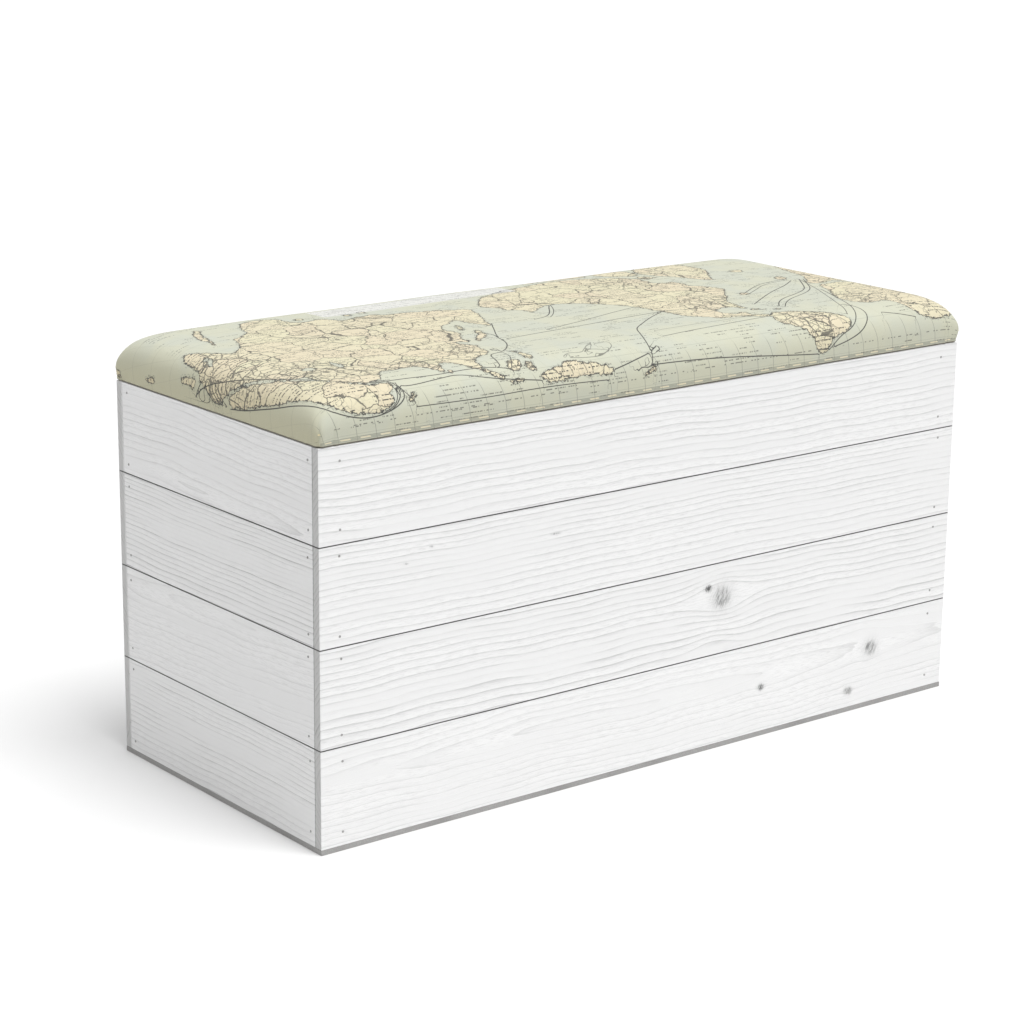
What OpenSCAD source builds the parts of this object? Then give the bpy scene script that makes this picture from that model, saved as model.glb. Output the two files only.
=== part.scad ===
// Wooden toy box with a padded, cloth-covered lid on two butt hinges.
// Origin: centre of the underside. +X is to the right, +Y to the back, +Z up. Millimetres.

/* [Box] */
// Outside width, left to right
box_w = 850; // [760:5:1000]
// Outside depth, front to back
box_d = 365; // [330:5:450]
// Height of a full plank
plank_h = 100; // [90:1:120]
// Height of the top plank, trimmed where the lid closes
top_plank_h = 95; // [90:1:120]
// Thickness of the planks
plank_t = 10; // [8:0.5:14]
// Open joint between two planks
plank_joint = 0.5; // [0.2:0.1:1]
// Chamfer along the plank edges
plank_ease = 0.8; // [0.3:0.1:1.5]
// Thickness of the base panel
base_t = 5; // [4:0.5:9]
// Width of a square corner post
post_w = 30; // [26:1:36]
// Gap between the top of a post and the lid
post_gap = 4; // [3:1:10]

/* [Nails] */
// Length of a plank nail
nail_len = 20; // [16:1:20]
// Radius of a nail shank
nail_r = 0.9; // [0.8:0.1:1.3]
// Radius of a nail head
nail_head_r = 1.2; // [1.2:0.1:2]
// Distance of the front and back nails from the end of a plank
end_nail_in = 24; // [23:0.5:26]
// Distance of the side nails from the front or back face
side_nail_in = 19; // [16:0.5:22]
// Distance of a nail from the edge of its plank
nail_edge = 12.3; // [11:0.1:20]
// Spacing of the pins that hold the base panel
base_pin_step = 120; // [80:5:120]

/* [Lid] */
// Thickness of the lid board
board_t = 12; // [9:1:18]
// Thickness of the cover cloth
cloth_t = 1; // [0.8:0.1:1.5]
// Height of the lid at its padded edge
pad_h = 50; // [40:0.5:80]
// Extra height at the middle of the pad
pad_crown = 5.6; // [2:0.1:15]
// Width of the rounded edge of the pad
pad_run = 66; // [30:1:80]
// Swell of the pad past the front
pad_swell = 4; // [2:0.5:8]
// Height of the fullest line of the pad's edge
pad_swell_h = 10.5; // [8:0.5:14]
// Width of the cloth turned in under the board
turn_in = 45; // [42:1:60]
// Number of staples along the front and along the back
long_staples = 14; // [8:1:20]
// Number of staples along each end
short_staples = 5; // [3:1:7]

/* [Hinges] */
// Distance of each hinge from the middle of the box
hinge_x = 280; // [200:5:320]
// Length of a hinge
hinge_len = 60; // [50:2:80]
// Width of a hinge leaf
leaf_w = 25; // [22:1:27]
// Thickness of a hinge leaf
leaf_t = 1.5; // [1.2:0.1:2]
// Outside radius of a knuckle
knuckle_r = 3; // [2.5:0.1:3]
// Radius of a hinge pin
pin_r = 1.5; // [1.2:0.1:1.7]
// Opening angle of the lid, where the stay stops it
lid_open = 95; // [80:1:100]
// Height of the rail that takes the hinge screws
rail_h = 30; // [25:1:45]
// Depth of that rail
rail_t = 20; // [16:1:26]

/* [Lid stay] */
// Distance of the stay's two pivots from the hinge axis
stay_r = 130; // [110:1:135]
// Angle between the two pivots with the lid shut
stay_start = 20; // [18:1:26]
// Drop of the bracket's pivot below the lid
stay_drop = 12; // [11:0.5:16]
// Width of the slotted arm
arm_w = 14; // [13:1:18]
// Thickness of the slotted arm
arm_t = 2; // [1.5:0.1:2.5]
// Radius of the stud that runs in the slot
stud_r = 3; // [2.5:0.1:3.5]

/* [Hidden] */
$fn = 48;

plank_rows = 4;
wall_top = base_t + (plank_rows - 1) * plank_h + top_plank_h;
inner_w = box_w - 2 * plank_t;
inner_d = box_d - 2 * plank_t;
post_h = wall_top - post_gap - base_t;
hole_gap = 0.05;   // radial room round a nail or a screw in its hole
cut = 1;           // how far a cutting shape runs past a face

// Nails
nail_head_t = 1;
nail_tip = 3;
pin_nail_len = 18;

// Screws: countersunk, head radius and shank radius
screw_head_r = 3.2;
screw_r = 1.6;
screw_head_t = 1.4;
leaf_screw_len = 10;
rail_screw_len = 27;
rail_screw_x = [110, 340];
rail_screw_z = wall_top - rail_h / 2;

// Hinges: the axis lies just behind the back face, level with the top of the planks
axis_gap = 0.4;
axis_y = box_d / 2 + knuckle_r + axis_gap;
axis_z = wall_top;
leaf_gap = 0.1;    // from each leaf to the plane between them
knuckle_gap = 0.2; // between two knuckles, half on each side
knuckle_len = hinge_len / 3;
leaf_hole_y = box_d / 2 - plank_t - rail_t / 2;
leaf_hole_step = 22;
pin_gap = 0.05;
pin_head_t = 1;

// Lid
board_z = wall_top + cloth_t;
board_gap = 0.2;
board_r = 8;
pad_power = 3;     // 2 makes the padded edge an ellipse, more makes it squarer
pad_corner_r = 12; // plan radius at the fullest line
pad_corner_grow = 50;
swell_back = 3;
swell_end = 1;
foam_gap = 0.3;
lining_t = 0.8;
lining_in_x = 34;
lining_in_front = 24;
lining_back = box_d / 2 - plank_t - rail_t - 4.5;
staple_w = 10;
staple_wire = 0.6;
staple_leg = 5;
staple_in = 4;     // from a cloth edge to its staples

// Lid stay: the arm's pivot C and the stud P lie on one circle round the hinge axis, so
// the arm turns by half the lid's angle while the stud slides along its slot.
arm_gap = 0.4;
slot_gap = 0.3;
bracket_t = 1.5;
bracket_w = 13;
bracket_len = 40;
bracket_screw_step = 26;
tab_w = 20;
rivet_r = 2.5;
rivet_head_r = 4.5;
rivet_head_t = 1.2;
stud_head_r = 6;
stud_head_t = 2;
stud_thread_r = 2;
stud_thread_len = 8;
spacer_r = 7;
tab_x = inner_w / 2 - 10.5;
arm_x = tab_x + bracket_t + arm_gap;
arm_pivot_angle = asin(stay_drop / stay_r);
arm_pivot = stay_point(arm_pivot_angle);
stud_point = stay_point(arm_pivot_angle + stay_start);
arm_angle = atan2(stud_point[1] - arm_pivot[1], stud_point[0] - arm_pivot[0]);
slot_start = stay_chord(0) - slot_gap;
slot_end = stay_chord(lid_open) + slot_gap;

// A point on the stay circle, so many degrees below the lid's underside, as [y, z]
function stay_point(angle) = [axis_y - stay_r * cos(angle), axis_z - stay_r * sin(angle)];
// Distance from the arm's pivot to the stud at a lid angle
function stay_chord(angle) = 2 * stay_r * sin((angle + stay_start) / 2);

// Height of a plank's lower edge and of the plank itself, rows counted from 0 at the base
function row_z(row) = base_t + row * plank_h;
function row_h(row) = row == plank_rows - 1 ? top_plank_h : plank_h;
// Hand-set nails wander by a millimetre or two
function drift(n) = 2.2 * sin(n * 97);
function nail_z(row, upper, seed) =
    (upper == 1 ? row_z(row) + row_h(row) - nail_edge : row_z(row) + nail_edge)
    + drift(seed + 5 * row + 2 * upper);

// ---------- small shapes ----------

// A nail or pin that points along +Z, its head flush at z = 0
module nail(len, grow = 0) {
    cylinder(r = nail_r + grow, h = len - nail_tip + 0.01);
    translate([0, 0, len - nail_tip]) cylinder(r1 = nail_r + grow, r2 = 0.3 + grow, h = nail_tip);
    translate([0, 0, -grow]) cylinder(r = nail_head_r + grow, h = nail_head_t + grow);
}

// A countersunk screw that points along +Z, its head flush at z = 0
module screw(len, grow = 0) {
    translate([0, 0, -grow]) cylinder(r = screw_r + grow, h = len + 2 * grow);
    cylinder(r1 = screw_head_r + grow, r2 = screw_r + grow, h = screw_head_t);
}

// A rounded rectangle centred on the origin
module rounded_plate(w, d, r) {
    square([w - 2 * r, d], center = true);
    square([w, d - 2 * r], center = true);
    for (sx = [-1, 1], sy = [-1, 1]) translate([sx * (w / 2 - r), sy * (d / 2 - r)]) circle(r = r);
}

// A plank's end: thickness along X, height along Y, with eased edges
module plank_end(h) {
    e = plank_ease;
    polygon([[e, 0], [plank_t - e, 0], [plank_t, e], [plank_t, h - e],
             [plank_t - e, h], [e, h], [0, h - e], [0, e]]);
}

// ---------- where the nails, pins and screws go ----------

// The nails of one row on the front wall, or on the back wall with side = 1
module at_front_nails(row, side) {
    for (sx = [-1, 1], upper = [0, 1])
        translate([sx * (box_w / 2 - end_nail_in) + 0.5 * drift(row + 3 * sx), side * box_d / 2,
                   nail_z(row, upper, 11 * sx + 7 * side)])
            rotate([side * 90, 0, 0]) children();
}

// The nails of one row on the left wall, or on the right wall with side = 1
module at_side_nails(row, side) {
    for (sy = [-1, 1], upper = [0, 1])
        translate([side * box_w / 2, sy * (box_d / 2 - side_nail_in) + 0.5 * drift(row + 4 * sy),
                   nail_z(row, upper, 23 * sy + 13 * side)])
            rotate([0, -side * 90, 0]) children();
}

// The pins that hold the base panel, from below
module at_base_pins() {
    long_count = floor((box_w / 2 - 60) / base_pin_step);
    for (i = [-long_count:long_count], sy = [-1, 1])
        translate([i * base_pin_step, sy * (box_d - plank_t) / 2, 0]) children();
    for (i = [-1:1], sx = [-1, 1])
        translate([sx * (box_w - plank_t) / 2, i * (box_d / 2 - 60) * 0.8, 0]) children();
}

module nail_holes(row) {
    for (side = [-1, 1]) {
        at_front_nails(row, side) nail(nail_len, hole_gap);
        at_side_nails(row, side) nail(nail_len, hole_gap);
    }
}

module all_nail_holes() {
    for (row = [0:plank_rows - 1]) nail_holes(row);
}

module at_hinges() {
    for (sx = [-1, 1]) translate([sx * hinge_x, 0, 0]) children();
}

// The screws of one hinge, up into the lid or, with way = 180, down into the rail
module at_leaf_screws(way) {
    shift = way == 0 ? leaf_gap : -leaf_gap;
    for (i = [-1:1])
        translate([i * leaf_hole_step, leaf_hole_y, axis_z + shift]) rotate([way, 0, 0]) children();
}

module at_rail_screws() {
    for (sx = [-1, 1], x = rail_screw_x)
        translate([sx * x, box_d / 2 - plank_t - rail_t, rail_screw_z]) rotate([-90, 0, 0]) children();
}

module at_bracket_screws() {
    for (s = [-1, 1])
        translate([tab_x + bracket_t / 2 - bracket_w / 2, arm_pivot[0] + s * bracket_screw_step / 2,
                   wall_top - bracket_t])
            children();
}

// ---------- box ----------

module base_panel() {
    color("#9B9A97") difference() {
        translate([-box_w / 2, -box_d / 2, 0]) cube([box_w, box_d, base_t]);
        at_base_pins() nail(pin_nail_len, hole_gap);
    }
}

module base_pins() {
    color("#6E6C68") at_base_pins() nail(pin_nail_len);
}

// A front or back plank, across the full width
module long_plank(row, side) {
    bottom = row_z(row) + (row == 0 ? 0 : plank_joint);
    h = row_z(row) + row_h(row) - bottom;
    color("#F4F3F0") difference() {
        translate([-box_w / 2, side == 1 ? box_d / 2 - plank_t : -box_d / 2, bottom])
            rotate([90, 0, 90]) linear_extrude(box_w) plank_end(h);
        nail_holes(row);
        if (row == 0) at_base_pins() nail(pin_nail_len, hole_gap);
        if (row == plank_rows - 1 && side == 1) {
            at_hinges() leaf_pocket();
            at_rail_screws() screw(rail_screw_len, hole_gap);
        }
    }
}

// A left or right plank, between the front and the back planks
module short_plank(row, side) {
    bottom = row_z(row) + (row == 0 ? 0 : plank_joint);
    h = row_z(row) + row_h(row) - bottom;
    color("#DCDBD8") difference() {
        translate([side == 1 ? box_w / 2 - plank_t : -box_w / 2, inner_d / 2, bottom])
            rotate([90, 0, 0]) linear_extrude(inner_d) plank_end(h);
        nail_holes(row);
        if (row == 0) at_base_pins() nail(pin_nail_len, hole_gap);
        if (row == plank_rows - 1 && side == 1) stud_hole();
    }
}

module front_nails() {
    color("#77746E") for (row = [0:plank_rows - 1]) at_front_nails(row, -1) nail(nail_len);
}

module back_nails() {
    color("#77746E") for (row = [0:plank_rows - 1]) at_front_nails(row, 1) nail(nail_len);
}

module left_nails() {
    color("#77746E") for (row = [0:plank_rows - 1]) at_side_nails(row, -1) nail(nail_len);
}

module right_nails() {
    color("#77746E") for (row = [0:plank_rows - 1]) at_side_nails(row, 1) nail(nail_len);
}

// A square post inside a corner, which the nails of both walls go into
module corner_post(sx, sy) {
    color("#E8E2D4") difference() {
        translate([sx * (inner_w - post_w) / 2 - post_w / 2, sy * (inner_d - post_w) / 2 - post_w / 2, base_t])
            cube([post_w, post_w, post_h]);
        all_nail_holes();
    }
}

// The rail inside the top of the back wall
module hinge_rail() {
    color("#E8E2D4") difference() {
        translate([-inner_w / 2 + post_w, inner_d / 2 - rail_t, wall_top - rail_h])
            cube([inner_w - 2 * post_w, rail_t, rail_h]);
        at_hinges() {
            leaf_pocket();
            at_leaf_screws(180) screw(leaf_screw_len, hole_gap);
        }
        at_rail_screws() screw(rail_screw_len, hole_gap);
    }
}

module hinge_rail_screws() {
    color("#B9B7B0") at_rail_screws() screw(rail_screw_len);
}

// ---------- hinges ----------

// The recess for a box leaf in the top edge of the wall and the rail
module leaf_pocket() {
    depth = leaf_t + leaf_gap + hole_gap;
    translate([-hinge_len / 2 - hole_gap, box_d / 2 - leaf_w - hole_gap, wall_top - depth])
        cube([hinge_len + 2 * hole_gap, leaf_w + cut, depth + cut]);
}

// One knuckle with the tongue that joins it to its leaf; way is 1 for the lid leaf
module knuckle(x, len, way) {
    tongue_z = way == 1 ? leaf_gap : -leaf_gap - leaf_t;
    translate([x, axis_y, axis_z]) rotate([0, 90, 0]) cylinder(r = knuckle_r, h = len);
    translate([x, box_d / 2 - cut, axis_z + tongue_z])
        cube([len, axis_y - box_d / 2 + cut, leaf_t]);
}

module pin_hole() {
    translate([-hinge_len / 2 - cut, axis_y, axis_z]) rotate([0, 90, 0])
        cylinder(r = pin_r + pin_gap, h = hinge_len + 2 * cut);
}

// The leaf on the box, with the two outer knuckles
module box_leaf() {
    color("#C9A75A") difference() {
        union() {
            translate([-hinge_len / 2, box_d / 2 - leaf_w, axis_z - leaf_gap - leaf_t])
                cube([hinge_len, leaf_w, leaf_t]);
            knuckle(-hinge_len / 2, knuckle_len - knuckle_gap, -1);
            knuckle(knuckle_len / 2 + knuckle_gap, knuckle_len - knuckle_gap, -1);
        }
        pin_hole();
        at_leaf_screws(180) screw(leaf_screw_len, hole_gap);
    }
}

// The leaf on the lid, with the middle knuckle
module lid_leaf() {
    color("#C9A75A") difference() {
        union() {
            translate([-hinge_len / 2, box_d / 2 - leaf_w, axis_z + leaf_gap])
                cube([hinge_len, leaf_w, leaf_t]);
            knuckle(-knuckle_len / 2 + knuckle_gap, knuckle_len - 2 * knuckle_gap, 1);
        }
        pin_hole();
        at_leaf_screws(0) screw(leaf_screw_len, hole_gap);
    }
}

// A hinge pin with a flat head at each end
module hinge_pin() {
    color("#B8964C") translate([0, axis_y, axis_z]) rotate([0, 90, 0]) {
        cylinder(r = pin_r, h = hinge_len + 0.4, center = true);
        for (s = [-1, 1])
            translate([0, 0, s * (hinge_len / 2 + 0.2 + pin_head_t / 2)])
                cylinder(r = knuckle_r - 0.4, h = pin_head_t, center = true);
    }
}

module hinge_box_screws() {
    color("#B9B7B0") at_hinges() at_leaf_screws(180) screw(leaf_screw_len);
}

module hinge_lid_screws() {
    color("#B9B7B0") at_hinges() at_leaf_screws(0) screw(leaf_screw_len);
}

// ---------- lid ----------

// One level of the pad: a thin rounded plate at height z, grown past the box on each side
module pad_level(z, ends, front, back, r) {
    x = box_w / 2 + ends - r;
    y_front = -box_d / 2 - front + r;
    y_back = box_d / 2 + back - r;
    for (sx = [-1, 1], y = [y_front, y_back])
        translate([sx * x, y, wall_top + z]) cylinder(r = r, h = 0.01, $fn = 32);
}

// The closed form of the padded lid, skin millimetres inside its finished surface.
// Above its fullest line the edge rolls over in a superellipse and meets the crown.
module pad_form(skin) {
    rise = pad_h - pad_swell_h - skin;
    run = pad_run - skin;
    hull() {
        for (z = [skin, pad_swell_h / 2])
            pad_level(z, -skin, -skin, -skin, 7 - skin / 2);
        for (angle = [0:15:75]) {
            inset = run * (1 - pow(cos(angle), 2 / pad_power));
            pad_level(pad_swell_h + rise * pow(sin(angle), 2 / pad_power),
                      swell_end - skin - inset, pad_swell - skin - inset, swell_back - skin - inset,
                      pad_corner_r + pad_corner_grow * inset / run);
        }
        pad_level(pad_h - skin, -skin - run, -skin - run, -skin - run, pad_corner_grow);
        pad_level(pad_h + pad_crown - skin, -2.2 * run, -2.2 * run, -2.2 * run, 20);
    }
}

module lid_board() {
    color("#D9BE8F") difference() {
        translate([0, 0, board_z]) linear_extrude(board_t)
            rounded_plate(box_w - 2 * cloth_t - 2 * board_gap, box_d - 2 * cloth_t - 2 * board_gap, board_r);
        at_hinges() {
            lid_leaf_pocket();
            at_leaf_screws(0) screw(leaf_screw_len, hole_gap);
        }
        at_bracket_screws() screw(leaf_screw_len, hole_gap);
        at_cover_staples() staple(hole_gap);
        at_lining_staples() staple(hole_gap);
    }
}

// Where a lid leaf beds into the turned-in cloth and the board
module lid_leaf_pocket() {
    translate([-hinge_len / 2 - hole_gap, box_d / 2 - leaf_w - hole_gap, wall_top - cut])
        cube([hinge_len + 2 * hole_gap, leaf_w + 10, leaf_gap + leaf_t + hole_gap + cut]);
}

module lid_foam() {
    color("#EAD9A0") intersection() {
        pad_form(cloth_t + foam_gap);
        translate([-box_w, -box_d, board_z + board_t]) cube([2 * box_w, 2 * box_d, 2 * pad_h]);
    }
}

// The cloth cover, pulled over the pad and turned in under the board
module lid_cover() {
    color("#CBCDB4") difference() {
        pad_form(0);
        pad_form(cloth_t);
        translate([-box_w / 2 + turn_in, -box_d / 2 + turn_in, wall_top - cut])
            cube([box_w - 2 * turn_in, box_d - 2 * turn_in, 2 * cut + cloth_t]);
        at_hinges() lid_leaf_pocket();
        at_bracket_screws() screw(leaf_screw_len, hole_gap);
        at_cover_staples() staple(hole_gap);
        at_lining_staples() staple(hole_gap);
    }
}

// The cloth under the lid, which hides the cut edge of the cover
module lid_lining() {
    color("#E9E4D6") difference() {
        translate([-box_w / 2 + lining_in_x, -box_d / 2 + lining_in_front, wall_top - lining_t])
            cube([box_w - 2 * lining_in_x, lining_back + box_d / 2 - lining_in_front, lining_t]);
        at_lining_staples() staple(hole_gap);
    }
}

// A staple with its crown along X and its legs up, the top of the crown at z = 0
module staple(grow = 0) {
    translate([-staple_w / 2 - grow, -staple_wire - grow, -staple_wire - grow])
        cube([staple_w + 2 * grow, 2 * staple_wire + 2 * grow, staple_wire + 2 * grow]);
    for (s = [-1, 1])
        translate([s * (staple_w - staple_wire) / 2 - staple_wire / 2 - grow, -staple_wire - grow, -grow])
            cube([staple_wire + 2 * grow, 2 * staple_wire + 2 * grow, staple_leg + 2 * grow]);
}

// Places along a rectangle of staples, from [x low, y low] to [x high, y high]
module staple_ring(low, high, shift) {
    step_x = (high[0] - low[0]) / long_staples;
    step_y = (high[1] - low[1]) / short_staples;
    for (i = [0:long_staples - 1], y = [low[1], high[1]])
        translate([low[0] + step_x * (i + shift), y]) children();
    for (i = [0:short_staples - 1], x = [low[0], high[0]])
        translate([x, low[1] + step_y * (i + shift)]) rotate([0, 0, 90]) children();
}

module at_cover_staples() {
    edge = turn_in - staple_in;
    translate([0, 0, wall_top + staple_wire + 0.1])
        staple_ring([-box_w / 2 + edge, -box_d / 2 + edge], [box_w / 2 - edge, box_d / 2 - edge], 0.3)
            children();
}

module at_lining_staples() {
    translate([0, 0, wall_top - lining_t])
        staple_ring([-box_w / 2 + lining_in_x + 1.5, -box_d / 2 + lining_in_front + staple_in],
                    [box_w / 2 - lining_in_x - 1.5, lining_back - 2], 0.7)
            children();
}

module cover_staples() {
    color("#C4C4C0") at_cover_staples() staple();
}

module lining_staples() {
    color("#C4C4C0") at_lining_staples() staple();
}

// ---------- lid stay ----------

// The bracket under the lid: a plate with two screws and a tab for the arm's pivot
module stay_bracket() {
    pivot_z = arm_pivot[1];
    color("#BDBDB9") difference() {
        union() {
            translate([tab_x + bracket_t - bracket_w, arm_pivot[0] - bracket_len / 2, wall_top - bracket_t])
                cube([bracket_w, bracket_len, bracket_t]);
            translate([tab_x, arm_pivot[0] - tab_w / 2, pivot_z])
                cube([bracket_t, tab_w, wall_top - pivot_z]);
            translate([tab_x, arm_pivot[0], pivot_z]) rotate([0, 90, 0])
                cylinder(r = tab_w / 2, h = bracket_t);
        }
        translate([tab_x - cut, arm_pivot[0], pivot_z]) rotate([0, 90, 0])
            cylinder(r = rivet_r + hole_gap, h = bracket_t + 2 * cut);
        at_bracket_screws() screw(leaf_screw_len, hole_gap);
    }
}

module stay_bracket_screws() {
    color("#B9B7B0") at_bracket_screws() screw(leaf_screw_len);
}

// The rivet that joins the arm to the bracket, with a head on each side
module stay_rivet() {
    span = bracket_t + 2 * arm_gap + arm_t;
    color("#9C9B97") translate([tab_x, arm_pivot[0], arm_pivot[1]]) rotate([0, 90, 0]) {
        cylinder(r = rivet_r, h = span);
        translate([0, 0, -rivet_head_t]) cylinder(r = rivet_head_r, h = rivet_head_t);
        translate([0, 0, span]) cylinder(r = rivet_head_r, h = rivet_head_t);
    }
}

// The slotted arm, drawn along +X from its pivot
module arm_outline() {
    end = slot_end + 4;
    difference() {
        union() {
            translate([0, -arm_w / 2]) square([end, arm_w]);
            circle(r = arm_w / 2);
            translate([end, 0]) circle(r = arm_w / 2);
        }
        circle(r = rivet_r + pin_gap);
        translate([slot_start, -stud_r - slot_gap]) square([slot_end - slot_start, 2 * (stud_r + slot_gap)]);
        for (x = [slot_start, slot_end]) translate([x, 0]) circle(r = stud_r + slot_gap);
    }
}

module stay_arm() {
    color("#BDBDB9") translate([arm_x, arm_pivot[0], arm_pivot[1]]) rotate([arm_angle, 0, 0])
        rotate([90, 0, 90]) linear_extrude(arm_t) arm_outline();
}

// The shouldered stud screwed into the right wall, with a head that keeps the arm on
module stay_stud() {
    shoulder = inner_w / 2 - arm_x + arm_gap;
    color("#9C9B97") translate([inner_w / 2, stud_point[0], stud_point[1]]) rotate([0, -90, 0]) {
        cylinder(r = stud_r, h = shoulder);
        translate([0, 0, shoulder]) cylinder(r = stud_head_r, h = stud_head_t);
        translate([0, 0, -stud_thread_len]) cylinder(r = stud_thread_r, h = stud_thread_len + 0.01);
    }
}

module stud_hole() {
    translate([inner_w / 2, stud_point[0], stud_point[1]]) rotate([0, 90, 0])
        translate([0, 0, -cut]) cylinder(r = stud_thread_r + hole_gap, h = stud_thread_len + 0.2 + cut);
}

// The tube between the wall and the arm
module stay_spacer() {
    len = inner_w / 2 - arm_x - arm_t - arm_gap;
    color("#C9C8C4") translate([inner_w / 2 - len, stud_point[0], stud_point[1]]) rotate([0, 90, 0])
        difference() {
            cylinder(r = spacer_r, h = len);
            translate([0, 0, -cut]) cylinder(r = stud_r + hole_gap, h = len + 2 * cut);
        }
}

// ---------- nodes ----------

base_panel();
base_pins();
long_plank(0, -1);  // front_plank_1
long_plank(1, -1);  // front_plank_2
long_plank(2, -1);  // front_plank_3
long_plank(3, -1);  // front_plank_4
long_plank(0, 1);  // back_plank_1
long_plank(1, 1);  // back_plank_2
long_plank(2, 1);  // back_plank_3
long_plank(3, 1);  // back_plank_4
short_plank(0, -1);  // left_plank_1
short_plank(1, -1);  // left_plank_2
short_plank(2, -1);  // left_plank_3
short_plank(3, -1);  // left_plank_4
short_plank(0, 1);  // right_plank_1
short_plank(1, 1);  // right_plank_2
short_plank(2, 1);  // right_plank_3
short_plank(3, 1);  // right_plank_4
front_nails();
back_nails();
left_nails();
right_nails();
corner_post(-1, -1);  // front_left_post
corner_post(1, -1);  // front_right_post
corner_post(-1, 1);  // back_left_post
corner_post(1, 1);  // back_right_post
hinge_rail();
hinge_rail_screws();
translate([-hinge_x, 0, 0]) box_leaf();  // left_hinge_box_leaf
translate([hinge_x, 0, 0]) box_leaf();  // right_hinge_box_leaf
translate([-hinge_x, 0, 0]) lid_leaf();  // left_hinge_lid_leaf
translate([hinge_x, 0, 0]) lid_leaf();  // right_hinge_lid_leaf
translate([-hinge_x, 0, 0]) hinge_pin();  // left_hinge_pin
translate([hinge_x, 0, 0]) hinge_pin();  // right_hinge_pin
hinge_box_screws();
hinge_lid_screws();
lid_board();
lid_foam();
lid_cover();
lid_lining();
cover_staples();
lining_staples();
stay_bracket();
stay_bracket_screws();
stay_rivet();
stay_arm();
stay_stud();
stay_spacer();
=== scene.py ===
"""Looks of the wooden toy box: whitewashed pine planks under a padded lid in a printed map cloth.

Lengths are in millimetres in the CAD frame until mesh_object() turns them into metres.
"""

import math

import bpy
import numpy as np
from mathutils import Matrix, Vector


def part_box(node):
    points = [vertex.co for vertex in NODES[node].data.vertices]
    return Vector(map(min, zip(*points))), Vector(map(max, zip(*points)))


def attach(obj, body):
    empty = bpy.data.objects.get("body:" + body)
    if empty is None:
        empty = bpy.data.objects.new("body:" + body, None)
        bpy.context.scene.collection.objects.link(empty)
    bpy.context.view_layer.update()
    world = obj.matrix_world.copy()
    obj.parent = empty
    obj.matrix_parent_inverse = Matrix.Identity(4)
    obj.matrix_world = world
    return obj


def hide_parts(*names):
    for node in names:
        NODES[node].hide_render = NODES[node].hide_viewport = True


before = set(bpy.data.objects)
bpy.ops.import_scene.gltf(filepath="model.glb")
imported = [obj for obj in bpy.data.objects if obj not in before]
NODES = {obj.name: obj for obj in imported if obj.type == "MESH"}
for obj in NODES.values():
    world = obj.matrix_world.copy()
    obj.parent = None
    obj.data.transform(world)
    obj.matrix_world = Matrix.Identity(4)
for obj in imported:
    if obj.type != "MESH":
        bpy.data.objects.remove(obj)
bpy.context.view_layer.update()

MM = 0.001


def corners(node):
    """Lowest and highest corner of a CAD node, in millimetres."""
    low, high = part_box(node)
    return np.array(low) / MM, np.array(high) / MM


WALL_LOW = np.minimum(corners("front_plank_1")[0], corners("left_plank_1")[0])
WALL_HIGH = np.maximum(corners("back_plank_4")[1], corners("right_plank_4")[1])
HALF_W, HALF_D, WALL_TOP = WALL_HIGH
PLANK_T = corners("front_plank_1")[1][1] - WALL_LOW[1]
HINGES = ("left_hinge_lid_leaf", "right_hinge_lid_leaf")
HINGE_X = [sum(corners(leaf)[i][0] for i in (0, 1)) / 2 for leaf in HINGES]
LEAF_LOW, LEAF_HIGH = corners(HINGES[0])
BOARD_LOW, BOARD_HIGH = (corner[2] for corner in corners("lid_board"))
HINGE_HALF = (LEAF_HIGH[0] - LEAF_LOW[0]) / 2


# ---------- meshes ----------


def mesh_object(name, points, faces, materials, smooth=True):
    """A mesh object from points in millimetres."""
    mesh = bpy.data.meshes.new(name)
    mesh.from_pydata((np.asarray(points) * MM).tolist(), [], faces)
    mesh.polygons.foreach_set("use_smooth", [smooth] * len(faces))
    for material in materials:
        mesh.materials.append(material)
    made = bpy.data.objects.new(name, mesh)
    bpy.context.scene.collection.objects.link(made)
    return made


def store(made, name, values):
    """Keeps one number, or one vector, for each point of a mesh, for its material to read."""
    values = np.asarray(values, np.float32)
    kind, key = ("FLOAT", "value") if values.ndim == 1 else ("FLOAT_VECTOR", "vector")
    attribute = made.data.attributes.new(name, kind, "POINT")
    attribute.data.foreach_set(key, values.ravel())


def grid_faces(rows, columns, closed=False):
    """Quads between neighbouring points of a grid; closed joins the last column to the first."""
    index = np.arange(rows * columns).reshape(rows, columns)
    if closed:
        index = np.hstack([index, index[:, :1]])
    quads = np.stack([index[:-1, :-1], index[1:, :-1], index[1:, 1:], index[:-1, 1:]], -1)
    return quads.reshape(-1, 4).tolist()


def clusters(node, keep, reach=6.0):
    """Centres of the separate solids of a CAD node, from the points of each that keep() picks."""
    points = np.array([v.co for v in NODES[node].data.vertices]) / MM
    groups = []
    for point in points[keep(points)]:
        near = next((g for g in groups if np.linalg.norm(g[0] - point) < reach), None)
        if near is None:
            groups.append([point])
        else:
            near.append(point)
    return [np.mean(g, axis=0) for g in groups]


def step(x, low, high):
    """0 below low, 1 above high, and a smooth rise between."""
    t = np.clip((x - low) / (high - low), 0, 1)
    return t * t * (3 - 2 * t)


# ---------- materials ----------


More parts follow.
